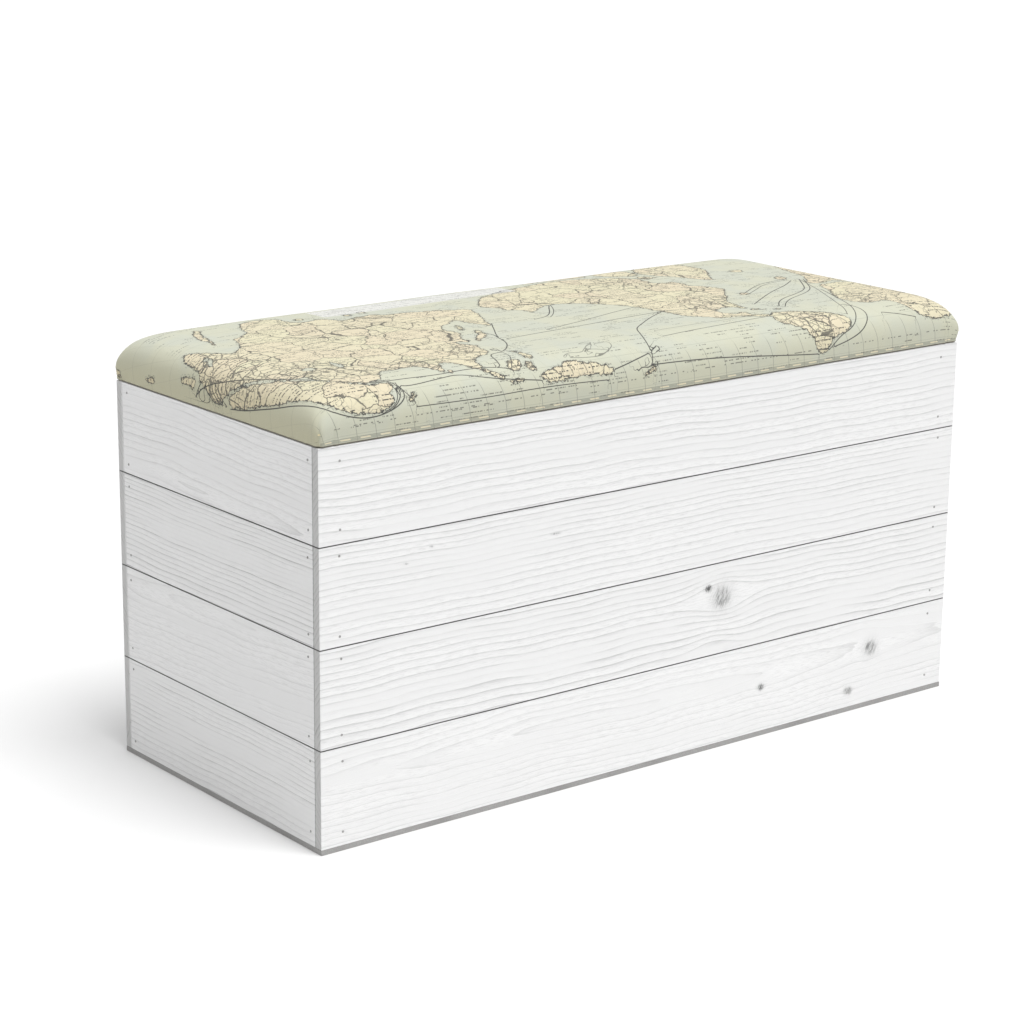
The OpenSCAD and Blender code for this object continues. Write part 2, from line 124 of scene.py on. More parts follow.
class Paint:
    """One material under construction, with short calls for the nodes it needs."""

    def __init__(self, name, roughness=0.6, metallic=0.0, sheen=0.0):
        self.material = bpy.data.materials.new(name)
        self.material.use_nodes = True
        self.tree = self.material.node_tree
        self.tree.nodes.clear()
        self.shader = self.node("ShaderNodeBsdfPrincipled")
        self.shader.inputs["Roughness"].default_value = roughness
        self.shader.inputs["Metallic"].default_value = metallic
        self.shader.inputs["Sheen Weight"].default_value = sheen
        output = self.node("ShaderNodeOutputMaterial")
        self.tree.links.new(self.shader.outputs["BSDF"], output.inputs["Surface"])

    def node(self, kind, **settings):
        made = self.tree.nodes.new(kind)
        for key, value in settings.items():
            setattr(made, key, value)
        return made

    def put(self, socket, value):
        """Sets a socket to a value, or links it to an output."""
        if isinstance(value, bpy.types.NodeSocket):
            self.tree.links.new(value, socket)
        elif hasattr(value, "__len__") and len(value) == 3 and socket.type == "RGBA":
            socket.default_value = (*value, 1.0)
        else:
            socket.default_value = value

    def math(self, operation, a, b=0.0, c=0.0):
        made = self.node("ShaderNodeMath", operation=operation)
        for socket, value in zip(made.inputs, (a, b, c)):
            self.put(socket, value)
        return made.outputs[0]

    def step(self, value, low, high, start=0.0, end=1.0):
        """A smooth step from start to end as the value goes from low to high."""
        made = self.node("ShaderNodeMapRange", interpolation_type="SMOOTHSTEP")
        for socket, number in zip(made.inputs, (value, low, high, start, end)):
            self.put(socket, number)
        return made.outputs["Result"]

    def line(self, distance, width):
        """1 within width of where a signed distance is zero, 0 outside it."""
        return self.step(self.math("ABSOLUTE", distance), width * 0.6, width * 1.4, 1.0, 0.0)

    def most(self, *values):
        highest = values[0]
        for value in values[1:]:
            highest = self.math("MAXIMUM", highest, value)
        return highest

    def times(self, *values):
        product = values[0]
        for value in values[1:]:
            product = self.math("MULTIPLY", product, value)
        return product

    def kept(self, name):
        """The number stored on the mesh under this name."""
        return self.node("ShaderNodeAttribute", attribute_name=name).outputs["Fac"]

    def place(self, name=None):
        """The vector stored on the mesh, or the point's place on its own object in metres."""
        if name is None:
            return self.node("ShaderNodeTexCoord").outputs["Object"]
        return self.node("ShaderNodeAttribute", attribute_name=name).outputs["Vector"]

    def scaled(self, vector, scale, move=(0, 0, 0), turn=0.0):
        made = self.node("ShaderNodeMapping")
        made.inputs["Rotation"].default_value[2] = turn
        self.put(made.inputs["Vector"], vector)
        made.inputs["Scale"].default_value = scale
        made.inputs["Location"].default_value = move
        return made.outputs["Vector"]

    def parts(self, vector):
        made = self.node("ShaderNodeSeparateXYZ")
        self.put(made.inputs[0], vector)
        return made.outputs[0], made.outputs[1], made.outputs[2]

    def joined(self, x, y=0.0, z=0.0):
        made = self.node("ShaderNodeCombineXYZ")
        for socket, value in zip(made.inputs, (x, y, z)):
            self.put(socket, value)
        return made.outputs[0]

    def noise(self, vector, scale=1.0, detail=2.0, rough=0.5):
        made = self.node("ShaderNodeTexNoise")
        for key, value in (("Vector", vector), ("Scale", scale), ("Detail", detail), ("Roughness", rough)):
            self.put(made.inputs[key], value)
        return made.outputs["Fac"]

    def warped(self, vector, scale, amount):
        """The vector pushed about by a noise, by up to half the amount each way."""
        made = self.node("ShaderNodeTexNoise")
        for key, value in (("Vector", vector), ("Scale", scale), ("Detail", 3.0)):
            self.put(made.inputs[key], value)
        push = self.node("ShaderNodeVectorMath", operation="MULTIPLY_ADD")
        self.put(push.inputs[0], made.outputs["Color"])
        push.inputs[1].default_value = (amount, amount, 0)
        self.put(push.inputs[2], vector)
        return push.outputs[0]

    def cells(self, vector, scale, feature="DISTANCE_TO_EDGE", output="Distance"):
        made = self.node("ShaderNodeTexVoronoi", feature=feature)
        self.put(made.inputs["Vector"], vector)
        made.inputs["Scale"].default_value = scale
        return made.outputs[output]

    def chance(self, vector):
        """A random number from 0 to 1 for each whole-number place of the vector."""
        snapped = self.node("ShaderNodeVectorMath", operation="FLOOR")
        self.put(snapped.inputs[0], vector)
        made = self.node("ShaderNodeTexWhiteNoise")
        self.put(made.inputs["Vector"], snapped.outputs[0])
        return made.outputs["Value"]

    def mix(self, a, b, share):
        made = self.node("ShaderNodeMix", data_type="RGBA")
        self.put(made.inputs["Factor"], share)
        self.put(made.inputs[6], a)
        self.put(made.inputs[7], b)
        return made.outputs[2]

    def ramp(self, value, stops):
        """Values between given stops of (place, level)."""
        made = self.node("ShaderNodeValToRGB")
        self.put(made.inputs["Fac"], value)
        while len(made.color_ramp.elements) < len(stops):
            made.color_ramp.elements.new(0.5)
        for element, (place, level) in zip(made.color_ramp.elements, stops):
            element.position = place
            element.color = (level, level, level, 1.0)
        return made.outputs["Color"]

    def bump(self, height, distance_mm, strength=1.0):
        made = self.node("ShaderNodeBump")
        made.inputs["Strength"].default_value = strength
        made.inputs["Distance"].default_value = distance_mm * MM
        self.put(made.inputs["Height"], height)
        self.put(self.shader.inputs["Normal"], made.outputs["Normal"])

    def finish(self, colour, roughness=None):
        self.put(self.shader.inputs["Base Color"], colour)
        if roughness is not None:
            self.put(self.shader.inputs["Roughness"], roughness)
        return self.material


# Darkness of the wood through one growth ring: (share of the ring, level)
LATE_WOOD = [(0.0, 0.0), (0.4, 0.08), (0.7, 0.24), (0.86, 0.55), (0.94, 1.0), (0.985, 0.9), (1.0, 0.0)]
HATCH_TURN = math.radians(24)  # slant of the streaks across a knot


def pine(name, light, dark, depth):
    """Painted pine: growth rings from the stored ring count, fibres, grey knots, and painted shade
    darkening the joints.
    """
    p = Paint(name)
    grain = p.place("grain")
    contrast = p.kept("contrast")
    fibre = p.noise(p.scaled(grain, (0.03, 1.3, 1.3)), detail=4.0, rough=0.65)
    patches = p.noise(p.scaled(grain, (0.005, 0.04, 0.05)), detail=3.0)
    wander = p.noise(p.scaled(grain, (0.012, 0.14, 0.14)), detail=3.0)
    ring = p.math("MULTIPLY_ADD", wander, 0.5, p.kept("ring"))
    turn = p.math("FRACT", ring)
    late = p.ramp(turn, LATE_WOOD)
    each = p.math("MULTIPLY_ADD", p.chance(p.joined(ring)), 0.55, 0.45)
    share = p.times(late, each, p.step(patches, 0.32, 0.6, 0.5, 1.0), p.step(fibre, 0.3, 0.55, 0.55, 1.0))
    colour = p.mix(light, dark, p.times(share, contrast, depth))
    pores = p.step(p.noise(p.scaled(grain, (0.09, 1.5, 1.5)), detail=3.0, rough=0.7), 0.46, 0.72, 0.0, 0.26)
    colour = p.mix(colour, dark, pores)
    colour = p.mix(colour, tuple(0.94 * c for c in light), p.step(patches, 0.42, 0.66))
    knot = p.kept("knot")
    slanted = p.scaled(grain, (1, 1, 1), turn=HATCH_TURN)
    streaks = p.noise(p.scaled(slanted, (0.75, 0.11, 1.0)), detail=3.0, rough=0.7)
    hatched = p.most(p.step(streaks, 0.42, 0.6, 0.38, 1.0), p.step(knot, 1.2, 1.9))
    shade = p.times(p.step(knot, 0.02, 0.9), hatched)
    colour = p.mix(colour, tuple(0.36 * c for c in dark), shade)
    # painted shade: the joints between planks are darkened to near black, standing in for the shade inside
    # the gaps
    colour = p.mix(colour, (0.06, 0.06, 0.06), p.kept("joint"))
    height = p.math("MULTIPLY_ADD", p.math("SUBTRACT", 0.0, late), contrast, p.times(fibre, 0.8))
    p.bump(p.math("SUBTRACT", height, p.times(shade, 0.6)), 0.32, 0.6)
    return p.finish(colour, p.step(fibre, 0.3, 0.7, 0.5, 0.68))


def raw_pine(name, along):
    """Bare planed pine for the posts and the rail, its grain along one axis of the frame."""
    p = Paint(name, roughness=0.62)
    stretch = [45.0, 45.0, 45.0]
    stretch[along] = 3.0
    place = p.place()
    bent = p.warped(p.scaled(place, stretch), 0.8, 0.5)
    ring = p.node("ShaderNodeTexWave", wave_type="RINGS", rings_direction="XYZ"[along])
    p.put(ring.inputs["Vector"], bent)
    for key, value in (("Scale", 1.4), ("Distortion", 1.5), ("Detail", 2.0)):
        ring.inputs[key].default_value = value
    late = p.step(ring.outputs["Fac"], 0.45, 1.0)
    fine = [900.0, 900.0, 900.0]
    fine[along] = 14.0
    fibre = p.noise(p.scaled(place, fine), detail=3.0)
    colour = p.mix((0.72, 0.55, 0.34), (0.50, 0.31, 0.15), p.times(late, 0.6))
    colour = p.mix(colour, (0.80, 0.66, 0.46), p.step(fibre, 0.45, 0.7, 0.0, 0.5))
    p.bump(fibre, 0.15, 0.4)
    return p.finish(colour)


def plywood(name):
    """Birch plywood: thin plies on its edges, a calm veneer on its faces."""
    p = Paint(name, roughness=0.58)
    place = p.place()
    height = p.parts(place)[2]
    ply = p.math("FRACT", p.math("MULTIPLY", height, 1 / (1.7 * MM)))
    dark_ply = p.step(p.math("ABSOLUTE", p.math("SUBTRACT", ply, 0.5)), 0.2, 0.3)
    across = p.math("ABSOLUTE", p.parts(p.node("ShaderNodeNewGeometry").outputs["Normal"])[2])
    grain = p.noise(p.scaled(place, (12, 220, 220)), detail=4.0, rough=0.6)
    face = p.mix((0.76, 0.60, 0.40), (0.60, 0.43, 0.25), p.step(grain, 0.35, 0.7))
    edge = p.mix((0.66, 0.47, 0.27), (0.40, 0.25, 0.13), dark_ply)
    p.bump(grain, 0.1, 0.4)
    return p.finish(p.mix(edge, face, p.step(across, 0.3, 0.7)))


def hardboard(name):
    """Pressed fibre board with a grey face."""
    p = Paint(name, roughness=0.7)
    place = p.place()
    fibre = p.noise(p.scaled(place, (900, 900, 2500)), detail=4.0, rough=0.7)
    cloud = p.noise(place, 18.0, 2.0)
    colour = p.mix((0.28, 0.275, 0.27), (0.44, 0.435, 0.425), p.step(fibre, 0.3, 0.7))
    p.bump(fibre, 0.12, 0.5)
    return p.finish(p.mix(colour, (0.22, 0.215, 0.21), p.step(cloud, 0.45, 0.75, 0.0, 0.4)))


def metal(name, bright, dull, roughness, metallic=1.0):
    """Metal with faint scratches and dull patches."""
    p = Paint(name, metallic=metallic)
    place = p.place()
    scratch = p.noise(p.scaled(place, (350, 3000, 1200)), detail=3.0, rough=0.7)
    patch = p.noise(place, 160.0, 3.0)
    colour = p.mix(bright, dull, p.step(patch, 0.4, 0.7))
    p.bump(scratch, 0.03, 0.5)
    return p.finish(colour, p.step(scratch, 0.3, 0.7, roughness - 0.08, roughness + 0.1))


def nylon(name):
    """Milky moulded nylon."""
    p = Paint(name, roughness=0.42)
    cloud = p.noise(p.place(), 300.0, 3.0)
    p.bump(cloud, 0.05, 0.4)
    return p.finish(p.mix((0.74, 0.73, 0.69), (0.64, 0.63, 0.58), p.step(cloud, 0.35, 0.65)))


def foam(name):
    """Open-cell upholstery foam."""
    p = Paint(name, roughness=0.95)
    place = p.place()
    pores = p.cells(place, 700.0, "F1")
    colour = p.mix((0.62, 0.50, 0.26), (0.82, 0.72, 0.46), p.step(pores, 0.1, 0.6))
    p.bump(pores, 0.6, 0.8)
    return p.finish(colour)


def weave(p, cloth, pitch):
    """Height of a plain weave whose threads lie pitch millimetres apart."""
    u, v, _ = p.parts(cloth)
    turns = 2 * math.pi / pitch
    warp = p.math("SINE", p.times(u, turns))
    weft = p.math("SINE", p.times(v, turns))
    slubs = p.noise(p.scaled(cloth, (0.08, 0.9, 1)), detail=3.0)
    return p.math("ADD", p.math("MULTIPLY_ADD", warp, weft, 0.5), slubs)


def lining_cloth(name):
    """Undyed cotton under the lid, with thicker threads here and there both ways."""
    p = Paint(name, roughness=0.92, sheen=0.12)
    cloth = p.scaled(p.place(), (1 / MM, 1 / MM, 1 / MM))
    across = p.noise(p.scaled(cloth, (0.05, 1.6, 1)), detail=2.0)
    down = p.noise(p.scaled(cloth, (1.6, 0.05, 1)), detail=2.0)
    soil = p.noise(cloth, 0.012, 2.0)
    thick = p.most(p.step(across, 0.52, 0.75), p.step(down, 0.52, 0.75))
    colour = p.mix((0.76, 0.71, 0.60), (0.68, 0.62, 0.50), p.times(thick, 0.7))
    colour = p.mix(colour, (0.70, 0.64, 0.52), p.step(soil, 0.4, 0.7, 0.0, 0.4))
    p.bump(p.math("ADD", weave(p, cloth, 0.9), thick), 0.2, 0.5)
    return p.finish(colour)


# Colours of the printed cloth
SEA = (0.560, 0.566, 0.442)
DEEP_SEA = (0.530, 0.548, 0.452)
LAND = (0.690, 0.630, 0.440)
PINK_LAND = (0.690, 0.612, 0.432)
YELLOW_LAND = (0.685, 0.640, 0.440)
INK = (0.012, 0.012, 0.009)
PAPER = (0.700, 0.700, 0.670)
SHADED_SEA = (0.495, 0.478, 0.328)  # painted shade where the cloth turns down at the ends and in front
# painted shade for the land where the cloth turns down
SHADED_LAND = (0.640, 0.560, 0.360)
# painted shadow in the fold where the cloth turns under the hem
HEM_SHADOW = (0.085, 0.070, 0.045)

# Sizes on the printed chart, in millimetres
WIDTH = 2 * HALF_W
CHART_LEAN = 0.29          # how far the meridians lean left for each step towards the back
MERIDIANS, PARALLELS = 22.0, 36.0
MARK_ROW, MARK_LENGTH, TICK = 5.2, 13.0, 0.8
LADDER_BAR = 23.0          # one dark and one pale bar of the chart's edge
TITLE_ROW = 9.0
TITLE_LOW, TITLE_HIGH = (205, 290), (460, 330)
COUNTRY_CELLS = 0.030      # countries in a millimetre of cloth


def frayed_coast(p, cloth):
    """Signed distance to the nearest coast, frayed by two sizes of noise."""
    bays = p.math("SUBTRACT", p.noise(cloth, 0.16, 4.0, 0.62), 0.5)
    inlets = p.math("SUBTRACT", p.noise(cloth, 0.55, 2.0, 0.6), 0.5)
    coast = p.math("MULTIPLY_ADD", bays, 11.0, p.kept("coast"))
    return p.math("MULTIPLY_ADD", inlets, 3.2, coast)


def coast_lines(p, cloth, coast):
    """The inked coast, and a thin broken line a little way out to sea."""
    shore = p.times(p.line(coast, 0.75), p.step(p.noise(cloth, 0.3, 1.0), 0.3, 0.5, 0.55, 1.0))
    shoal_line = p.line(p.math("ADD", coast, 2.2), 0.3)
    shoal = p.times(shoal_line, p.step(p.noise(cloth, 0.2, 1.0), 0.5, 0.6, 0.0, 0.6))
    return p.most(shore, shoal)


def land_lines(p, cloth, countries):
    """Borders round the countries, small counties where the chart is busy, and rivers."""
    borders = p.line(p.cells(countries, COUNTRY_CELLS), 0.015)
    county_lines = p.line(p.cells(p.warped(cloth, 0.14, 6.0), 0.085), 0.042)
    counties = p.times(county_lines, p.math("MULTIPLY_ADD", p.kept("busy"), 0.75, 0.14))
    valleys = p.noise(p.scaled(cloth, (1, 1, 1), (90, 40, 0)), 0.028, 3.0, 0.6)
    rivers = p.line(p.math("SUBTRACT", valleys, 0.56), 0.0045)
    return p.most(p.times(borders, 0.85), p.times(counties, 0.8), p.times(rivers, 0.7))


def earth_and_water(p, cloth, countries):
    """Colours of the lands, which differ by country, and of the seas, both darkened by painted shade where
    the cloth turns down at the ends and in front.
    """
    u, v, _ = p.parts(cloth)
    tint = p.parts(p.cells(countries, COUNTRY_CELLS, "F1", "Color"))[0]
    earth = p.mix(LAND, PINK_LAND, p.step(tint, 0.55, 0.75))
    earth = p.mix(earth, YELLOW_LAND, p.step(tint, 0.25, 0.1))
    patches = p.noise(cloth, 0.02, 2.0)
    water = p.mix(SEA, DEEP_SEA, p.step(patches, 0.42, 0.62))
    # painted shade: the ends, and a little of the front, are darker where the cloth rolls down away from
    # the light
    at_ends = p.most(p.step(u, 20.0, -32.0), p.step(u, WIDTH - 20.0, WIDTH + 32.0))
    turned_shade = p.most(at_ends, p.step(v, 8.0, -24.0, 0.0, 0.25))
    return p.mix(earth, SHADED_LAND, turned_shade), p.mix(water, SHADED_SEA, turned_shade)


def place_marks(p, u, v, lean, land, sea):
    """Rows of ticks too small to read, and none of them a letter."""
    row_place = p.times(v, 1 / MARK_ROW)
    slot = p.joined(p.times(lean, 1 / MARK_LENGTH), row_place)
    here = p.step(p.chance(slot), 0.44, 0.45)
    tick = p.step(p.chance(p.joined(p.times(u, 1 / TICK), row_place)), 0.42, 0.44)
    row = p.line(p.math("SUBTRACT", p.math("FRACT", row_place), 0.5), 0.12)
    marks = p.times(here, tick, row)
    in_rows = p.step(p.chance(p.scaled(slot, (0.5, 0.5, 1))), 0.5, 0.51)
    at_sea = p.times(marks, sea, in_rows, p.step(u, 0.0, 15.0, 0.0, 0.7))
    return p.most(p.times(marks, land), at_sea)


def chart_grid(p, v, lean):
    """Meridians and parallels: faint on the top, firm where the cloth turns down in front."""
    meridian = p.math("SUBTRACT", p.math("FRACT", p.times(lean, 1 / MERIDIANS)), 0.5)
    parallel = p.math("SUBTRACT", p.math("FRACT", p.times(p.math("ADD", v, 13.0), 1 / PARALLELS)), 0.5)
    turned = p.step(v, 2.0, -6.0, 0.0, 1.0)
    grid = p.times(p.line(meridian, 0.012), p.math("MULTIPLY_ADD", turned, 0.48, 0.12))
    return p.most(grid, p.times(p.line(parallel, 0.008), 0.2))


def soundings(p, u, v):
    """One row of short dashes along the front of the chart."""
    row = p.line(p.math("ADD", v, 22.0), 0.55)
    dashes = p.step(p.chance(p.joined(p.times(u, 1 / 2.2))), 0.62, 0.64)
    return p.times(row, dashes, 0.7)


def sea_routes(p):
    """Cable lines and ship routes."""
    widths = (0.6, 0.55, 0.45)
    routes = p.most(*(p.line(p.kept(f"route_{i}"), width) for i, width in enumerate(widths)))
    return p.most(routes, p.times(p.line(p.kept("route_3"), 0.45), 0.7))


def ruled_edge(p, u, v):
    """The chart's edge: where its ladder of bars is, which bars are pale, and the thin rules beside it."""
    edge = p.kept("sheet_edge")
    ladder = p.step(p.math("ABSOLUTE", p.math("SUBTRACT", edge, 1.0)), 0.7, 0.9, 1.0, 0.0)
    pale = p.step(p.math("FRACT", p.times(p.math("ADD", u, v), 1 / LADDER_BAR)), 0.48, 0.52)
    rules = p.most(p.line(p.math("SUBTRACT", edge, 2.5), 0.35), p.line(p.math("ADD", edge, 0.4), 0.3))
    return ladder, pale, rules


def title_lines(p, u, v, panel):
    """Thin broken lines on the title panel, which spell nothing."""
    row = p.times(v, 1 / TITLE_ROW)
    lines = p.times(p.step(p.math("FRACT", row), 0.78, 0.8), p.step(panel, 0.55, 0.7), 0.4)
    ticks = p.step(p.chance(p.joined(p.times(u, 1 / 1.1), row)), 0.4, 0.45)
    return p.times(lines, ticks)


def map_cloth(name):
    """Fine woven cloth printed with an old chart: seas, lands, borders, cable lines and a ruled edge."""
    p = Paint(name, roughness=0.88, sheen=0.06)
    cloth = p.place("cloth")
    u, v, _ = p.parts(cloth)
    lean = p.math("MULTIPLY_ADD", v, CHART_LEAN, u)
    coast = frayed_coast(p, cloth)
    land = p.step(coast, -0.25, 0.25)
    sea = p.math("SUBTRACT", 1.0, land)
    countries = p.warped(p.warped(cloth, 0.045, 22.0), 0.3, 3.0)
    earth, water = earth_and_water(p, cloth, countries)
    ladder, pale, rules = ruled_edge(p, u, v)
    panel = p.kept("panel")
    colour = p.mix(water, earth, land)
    colour = p.mix(colour, PAPER, p.times(p.step(panel, 0.0, 0.5), 0.9))
    colour = p.mix(colour, LAND, p.times(ladder, pale))

    # All that is printed in ink, worn a little
    on_land = p.times(land_lines(p, cloth, countries), land)
    on_sea = p.times(chart_grid(p, v, lean), sea)
    ink = p.most(coast_lines(p, cloth, coast), on_land, on_sea, place_marks(p, u, v, lean, land, sea))
    ink = p.most(ink, soundings(p, u, v), sea_routes(p), title_lines(p, u, v, panel))
    dark_bars = p.times(ladder, p.math("SUBTRACT", 1.0, pale), 0.35)
    ink = p.most(ink, dark_bars, p.times(rules, 0.55))
    ink = p.times(ink, p.step(p.noise(cloth, 1.6, 3.0, 0.7), 0.25, 0.5, 0.72, 1.0))
    colour = p.mix(colour, INK, ink)

    # A painted shadow line along the fold of the hem, and the weave over everything
    under = p.kept("under")
    # painted shadow: a dark band in the turned-under cloth, standing in for the shade of the gap under the
    # lid
    fold_shadow = p.times(p.step(under, 0.5, 1.8), p.step(under, 4.5, 7.0, 1.0, 0.0))
    colour = p.mix(colour, HEM_SHADOW, p.times(fold_shadow, 0.85))
    threads = weave(p, cloth, 0.8)
    colour = p.mix(colour, (1.0, 1.0, 0.97), p.step(threads, 0.2, 1.6, 0.0, 0.10))
    p.bump(threads, 0.16, 0.35)
    return p.finish(colour)


# ---------- planks ----------

RECESS = 0.12  # how far a plank's face lies under the CAD face, so that the nail heads show
RELIEF = 0.16  # height of a growth ring's ridge
EASE = 0.55    # rounding of a plank's long edges


def knot(s, t, radius, dark=1.0, stretch=1.0, reach=1.0):
    """A knot at s along and t up a plank; reach is how strongly it bends the grain round it."""
    return {"s": s, "t": t, "radius": radius, "dark": dark, "stretch": stretch, "reach": reach}


# Each plank's growth rings: spacing in millimetres, tilt along the length, and, where the plank was
# cut near the heart of the log, the middle of its long loops as (s, t, flatness). s runs from the
# left, or on the left and right walls from the front, and t runs up from the plank's lower edge.
GRAIN = {
    "front_plank_4": {"spacing": 8.2, "tilt": 0.012, "waves": 1.5},
    "front_plank_3": {
        "spacing": 7.4,
        "tilt": 0.004,
        "waves": 1.1,
        "knots": [
            knot(283, 68, 1.2, 0.7, 5.0, 0),
            knot(131, 80, 1.5, 0.7, 1.2, 0),
            knot(101, 68, 1.4, 0.7, 1.2, 0),
        ],
    },
    "front_plank_2": {
        "spacing": 8.6,
        "tilt": 0.004,
        "waves": 1.6,
        "contrast": 1.15,
        "knots": [
            knot(509, 62, 16, 0.62, 1.0, 1.45),
            knot(490, 74, 2.9, 2.6, 1.1, 0),
            knot(500, 4, 6, 0, 1, 3),
        ],
    },
    "front_plank_1": {
        "spacing": 8.6,
        "tilt": 0.0,
        "waves": 1.8,
        "contrast": 0.7,
        "loops": (330, 66, 0.05),
        "knots": [knot(735, 63, 10.5, 0.72, 1.1, 1.2), knot(570, 50, 3.6, 1.3), knot(703, 19, 5.5, 0.8)],
    },
    "left_plank_4": {"spacing": 7.5, "tilt": -0.01, "waves": 1.8, "contrast": 0.9, "loops": (206, 8, 0.05)},
    "left_plank_3": {"spacing": 5.6, "tilt": 0.006, "waves": 0.9, "contrast": 1.5},
    "left_plank_2": {"spacing": 9.0, "tilt": 0.03, "waves": 2.0, "contrast": 0.6, "loops": (120, 96, 0.06)},
    "left_plank_1": {"spacing": 6.2, "tilt": 0.004, "waves": 1.0, "contrast": 1.15},
    "right_plank_2": {"spacing": 8.0, "tilt": 0.0, "waves": 1.5, "knots": [knot(120, 60, 7, 0.8)]},
    "back_plank_1": {"spacing": 8.5, "tilt": 0.0, "waves": 1.5, "loops": (500, 40, 0.06)},
    "back_plank_3": {"spacing": 8.0, "tilt": 0.0, "waves": 1.5, "knots": [knot(300, 40, 9, 0.8)]},
}
PLAIN_GRAIN = {"spacing": 8.0, "tilt": 0.006, "waves": 1.3}


def bend_round(s, t, k):
    """How far the grain at s, t is pushed aside by a knot, as if it flowed round it."""
    across = np.abs(t - k["t"])
    size = k["radius"] * k["reach"] + 0.01
    push = size * np.exp(-(((s - k["s"]) / (1.5 * size)) ** 2) - across / (1.1 * size))
    return -np.sign(t - k["t"]) * np.minimum(push, across)


def rings(s, t, depth, seed, grain):
    """The growth ring at a point of a plank, a number that grows by one from ring to ring."""
    wave = np.sin(s / 83 + 1.7 * seed) + 0.6 * np.sin(s / 37 + t / 60 + 2.9 * seed)
    wave += 0.35 * np.sin(s / 15 + t / 25 + 4.1 * seed)
    height = t + grain["tilt"] * s + grain["waves"] * wave
    for k in grain.get("knots", []):
        height = height + bend_round(s, t, k)
    if "loops" in grain:
        s0, t0, flat = grain["loops"]
        height = t0 + np.hypot(height - t0, flat * (s - s0))
    # Rings grow wider towards the bark, and run on through the thickness at a slant
    wide = height * (1 + 0.0025 * height) / 1.15
    return (wide + 1.3 * depth) / grain["spacing"] + 3.3 * seed


def knot_shade(s, t, grain):
    """1 at the middle of a knot, falling to 0 at its rim."""
    shade = np.zeros_like(s)
    for k in grain.get("knots", []):
        gap = np.hypot((s - k["s"]) / (k["radius"] * k["stretch"]), (t - k["t"]) / k["radius"])
        core, halo = 1 - step(gap, 0.3, 1.1), 1 - step(gap, 0.6, 2.4)
        shade = np.maximum(shade, k["dark"] * (0.65 * core + 0.35 * halo))
    return shade


def ridge(ring):
    """Height of the worn surface over one ring: a slow rise, then a sharp drop."""
    turn = ring - np.floor(ring)
    return RELIEF * (turn**2 - step(turn, 0.9, 1.0))


def stations(length, heads, notches):
    """Places along a plank: even ones, with more round the nails and at the hinge notches."""
    places = set(np.linspace(0, length, round(length / 5.0) + 1).round(2))
    places |= {0.5, 1.2, length - 1.2, length - 0.5}
    for head in heads:
        places |= {round(head + d, 2) for d in np.arange(-3.2, 3.21, 0.8)}
    for low, high in notches:
        places = {x for x in places if not (abs(x - low) < 1 or abs(x - high) < 1)}
        places |= {low - 0.02, low + 0.02, high - 0.02, high + 0.02}
    return np.array(sorted(places))


def joint_painted_shade(name, s, t, length, height):
    """Painted shade: 1 in the narrow joints where a plank meets its neighbours or the base, where the gaps
    fall in shade, 0 on its open faces.
    """
    row = int(name[-1])
    gap_shade = 1 - step(t, 0.1, 0.6)
    if row < 4:
        gap_shade = np.maximum(gap_shade, 1 - step(height - t, 0.1, 0.6))
    if name.startswith(("left", "right")):
        gap_shade = np.maximum(gap_shade, 1 - step(np.minimum(s, length - s), 0.1, 0.9))
    return gap_shade


def plank_section(height):
    """Places up and into a plank, once round: outer face, top edge, inner face and lower edge."""
    count = round(height / 1.25)
    rise = np.linspace(EASE, height - EASE, count)
    arc = np.radians([22.5, 45, 67.5])
    top_t = height - EASE + EASE * np.sin(np.concatenate([arc, [np.pi / 2], np.pi - arc[::-1]]))
    top_d = EASE * (1 - np.cos(arc))
    edge_d = np.concatenate([top_d, [PLANK_T / 2], PLANK_T - top_d[::-1]])
    t_line = np.concatenate([rise, top_t, rise[::-1], (height - top_t)])
    d_line = np.concatenate([np.zeros(count), edge_d, np.full(count, PLANK_T), edge_d[::-1]])
    return t_line, d_line, count, count + len(top_t)


def worn_depth(s, t, depth, length, height, relief, shade, nails):
    """Depths with the rings in relief on the outer face, worn knots, and a dent round each nail."""
    face = (depth < 0.01) & (s > 0.1) & (s < length - 0.1)
    fade = step(t, EASE, 3) * step(height - t, EASE, 3)
    sunk = RECESS + (RELIEF * 0.4 - relief) * fade + 0.2 * shade.clip(0, 1) * fade
    for s0, t0 in nails:
        sunk = sunk + 0.22 * (1 - step(np.hypot(s - s0, t - t0), 1.3, 3.0))
    depth = np.where(face, np.maximum(sunk, 0.02), depth)
    ends = (s < 0.1) | (s > length - 0.1)
    return np.where(ends, np.clip(depth, 0.5, PLANK_T - 0.5), depth)


def end_faces(rows, columns, count, inner):
    """The faces that close a plank's two ends; inner is where the inner face starts in the section."""
    faces = []
    for start, way in ((0, 1), ((rows - 1) * columns, -1)):
        for i in range(count - 1):
            quad = [start + i, start + i + 1, start + inner + count - 2 - i, start + inner + count - 1 - i]
            faces.append(quad[::way])
        top = list(range(start + count - 1, start + inner + 1))
        low = list(range(start + inner + count - 1, start + columns)) + [start]
        faces += [top[::way], low[::way]]
    return faces


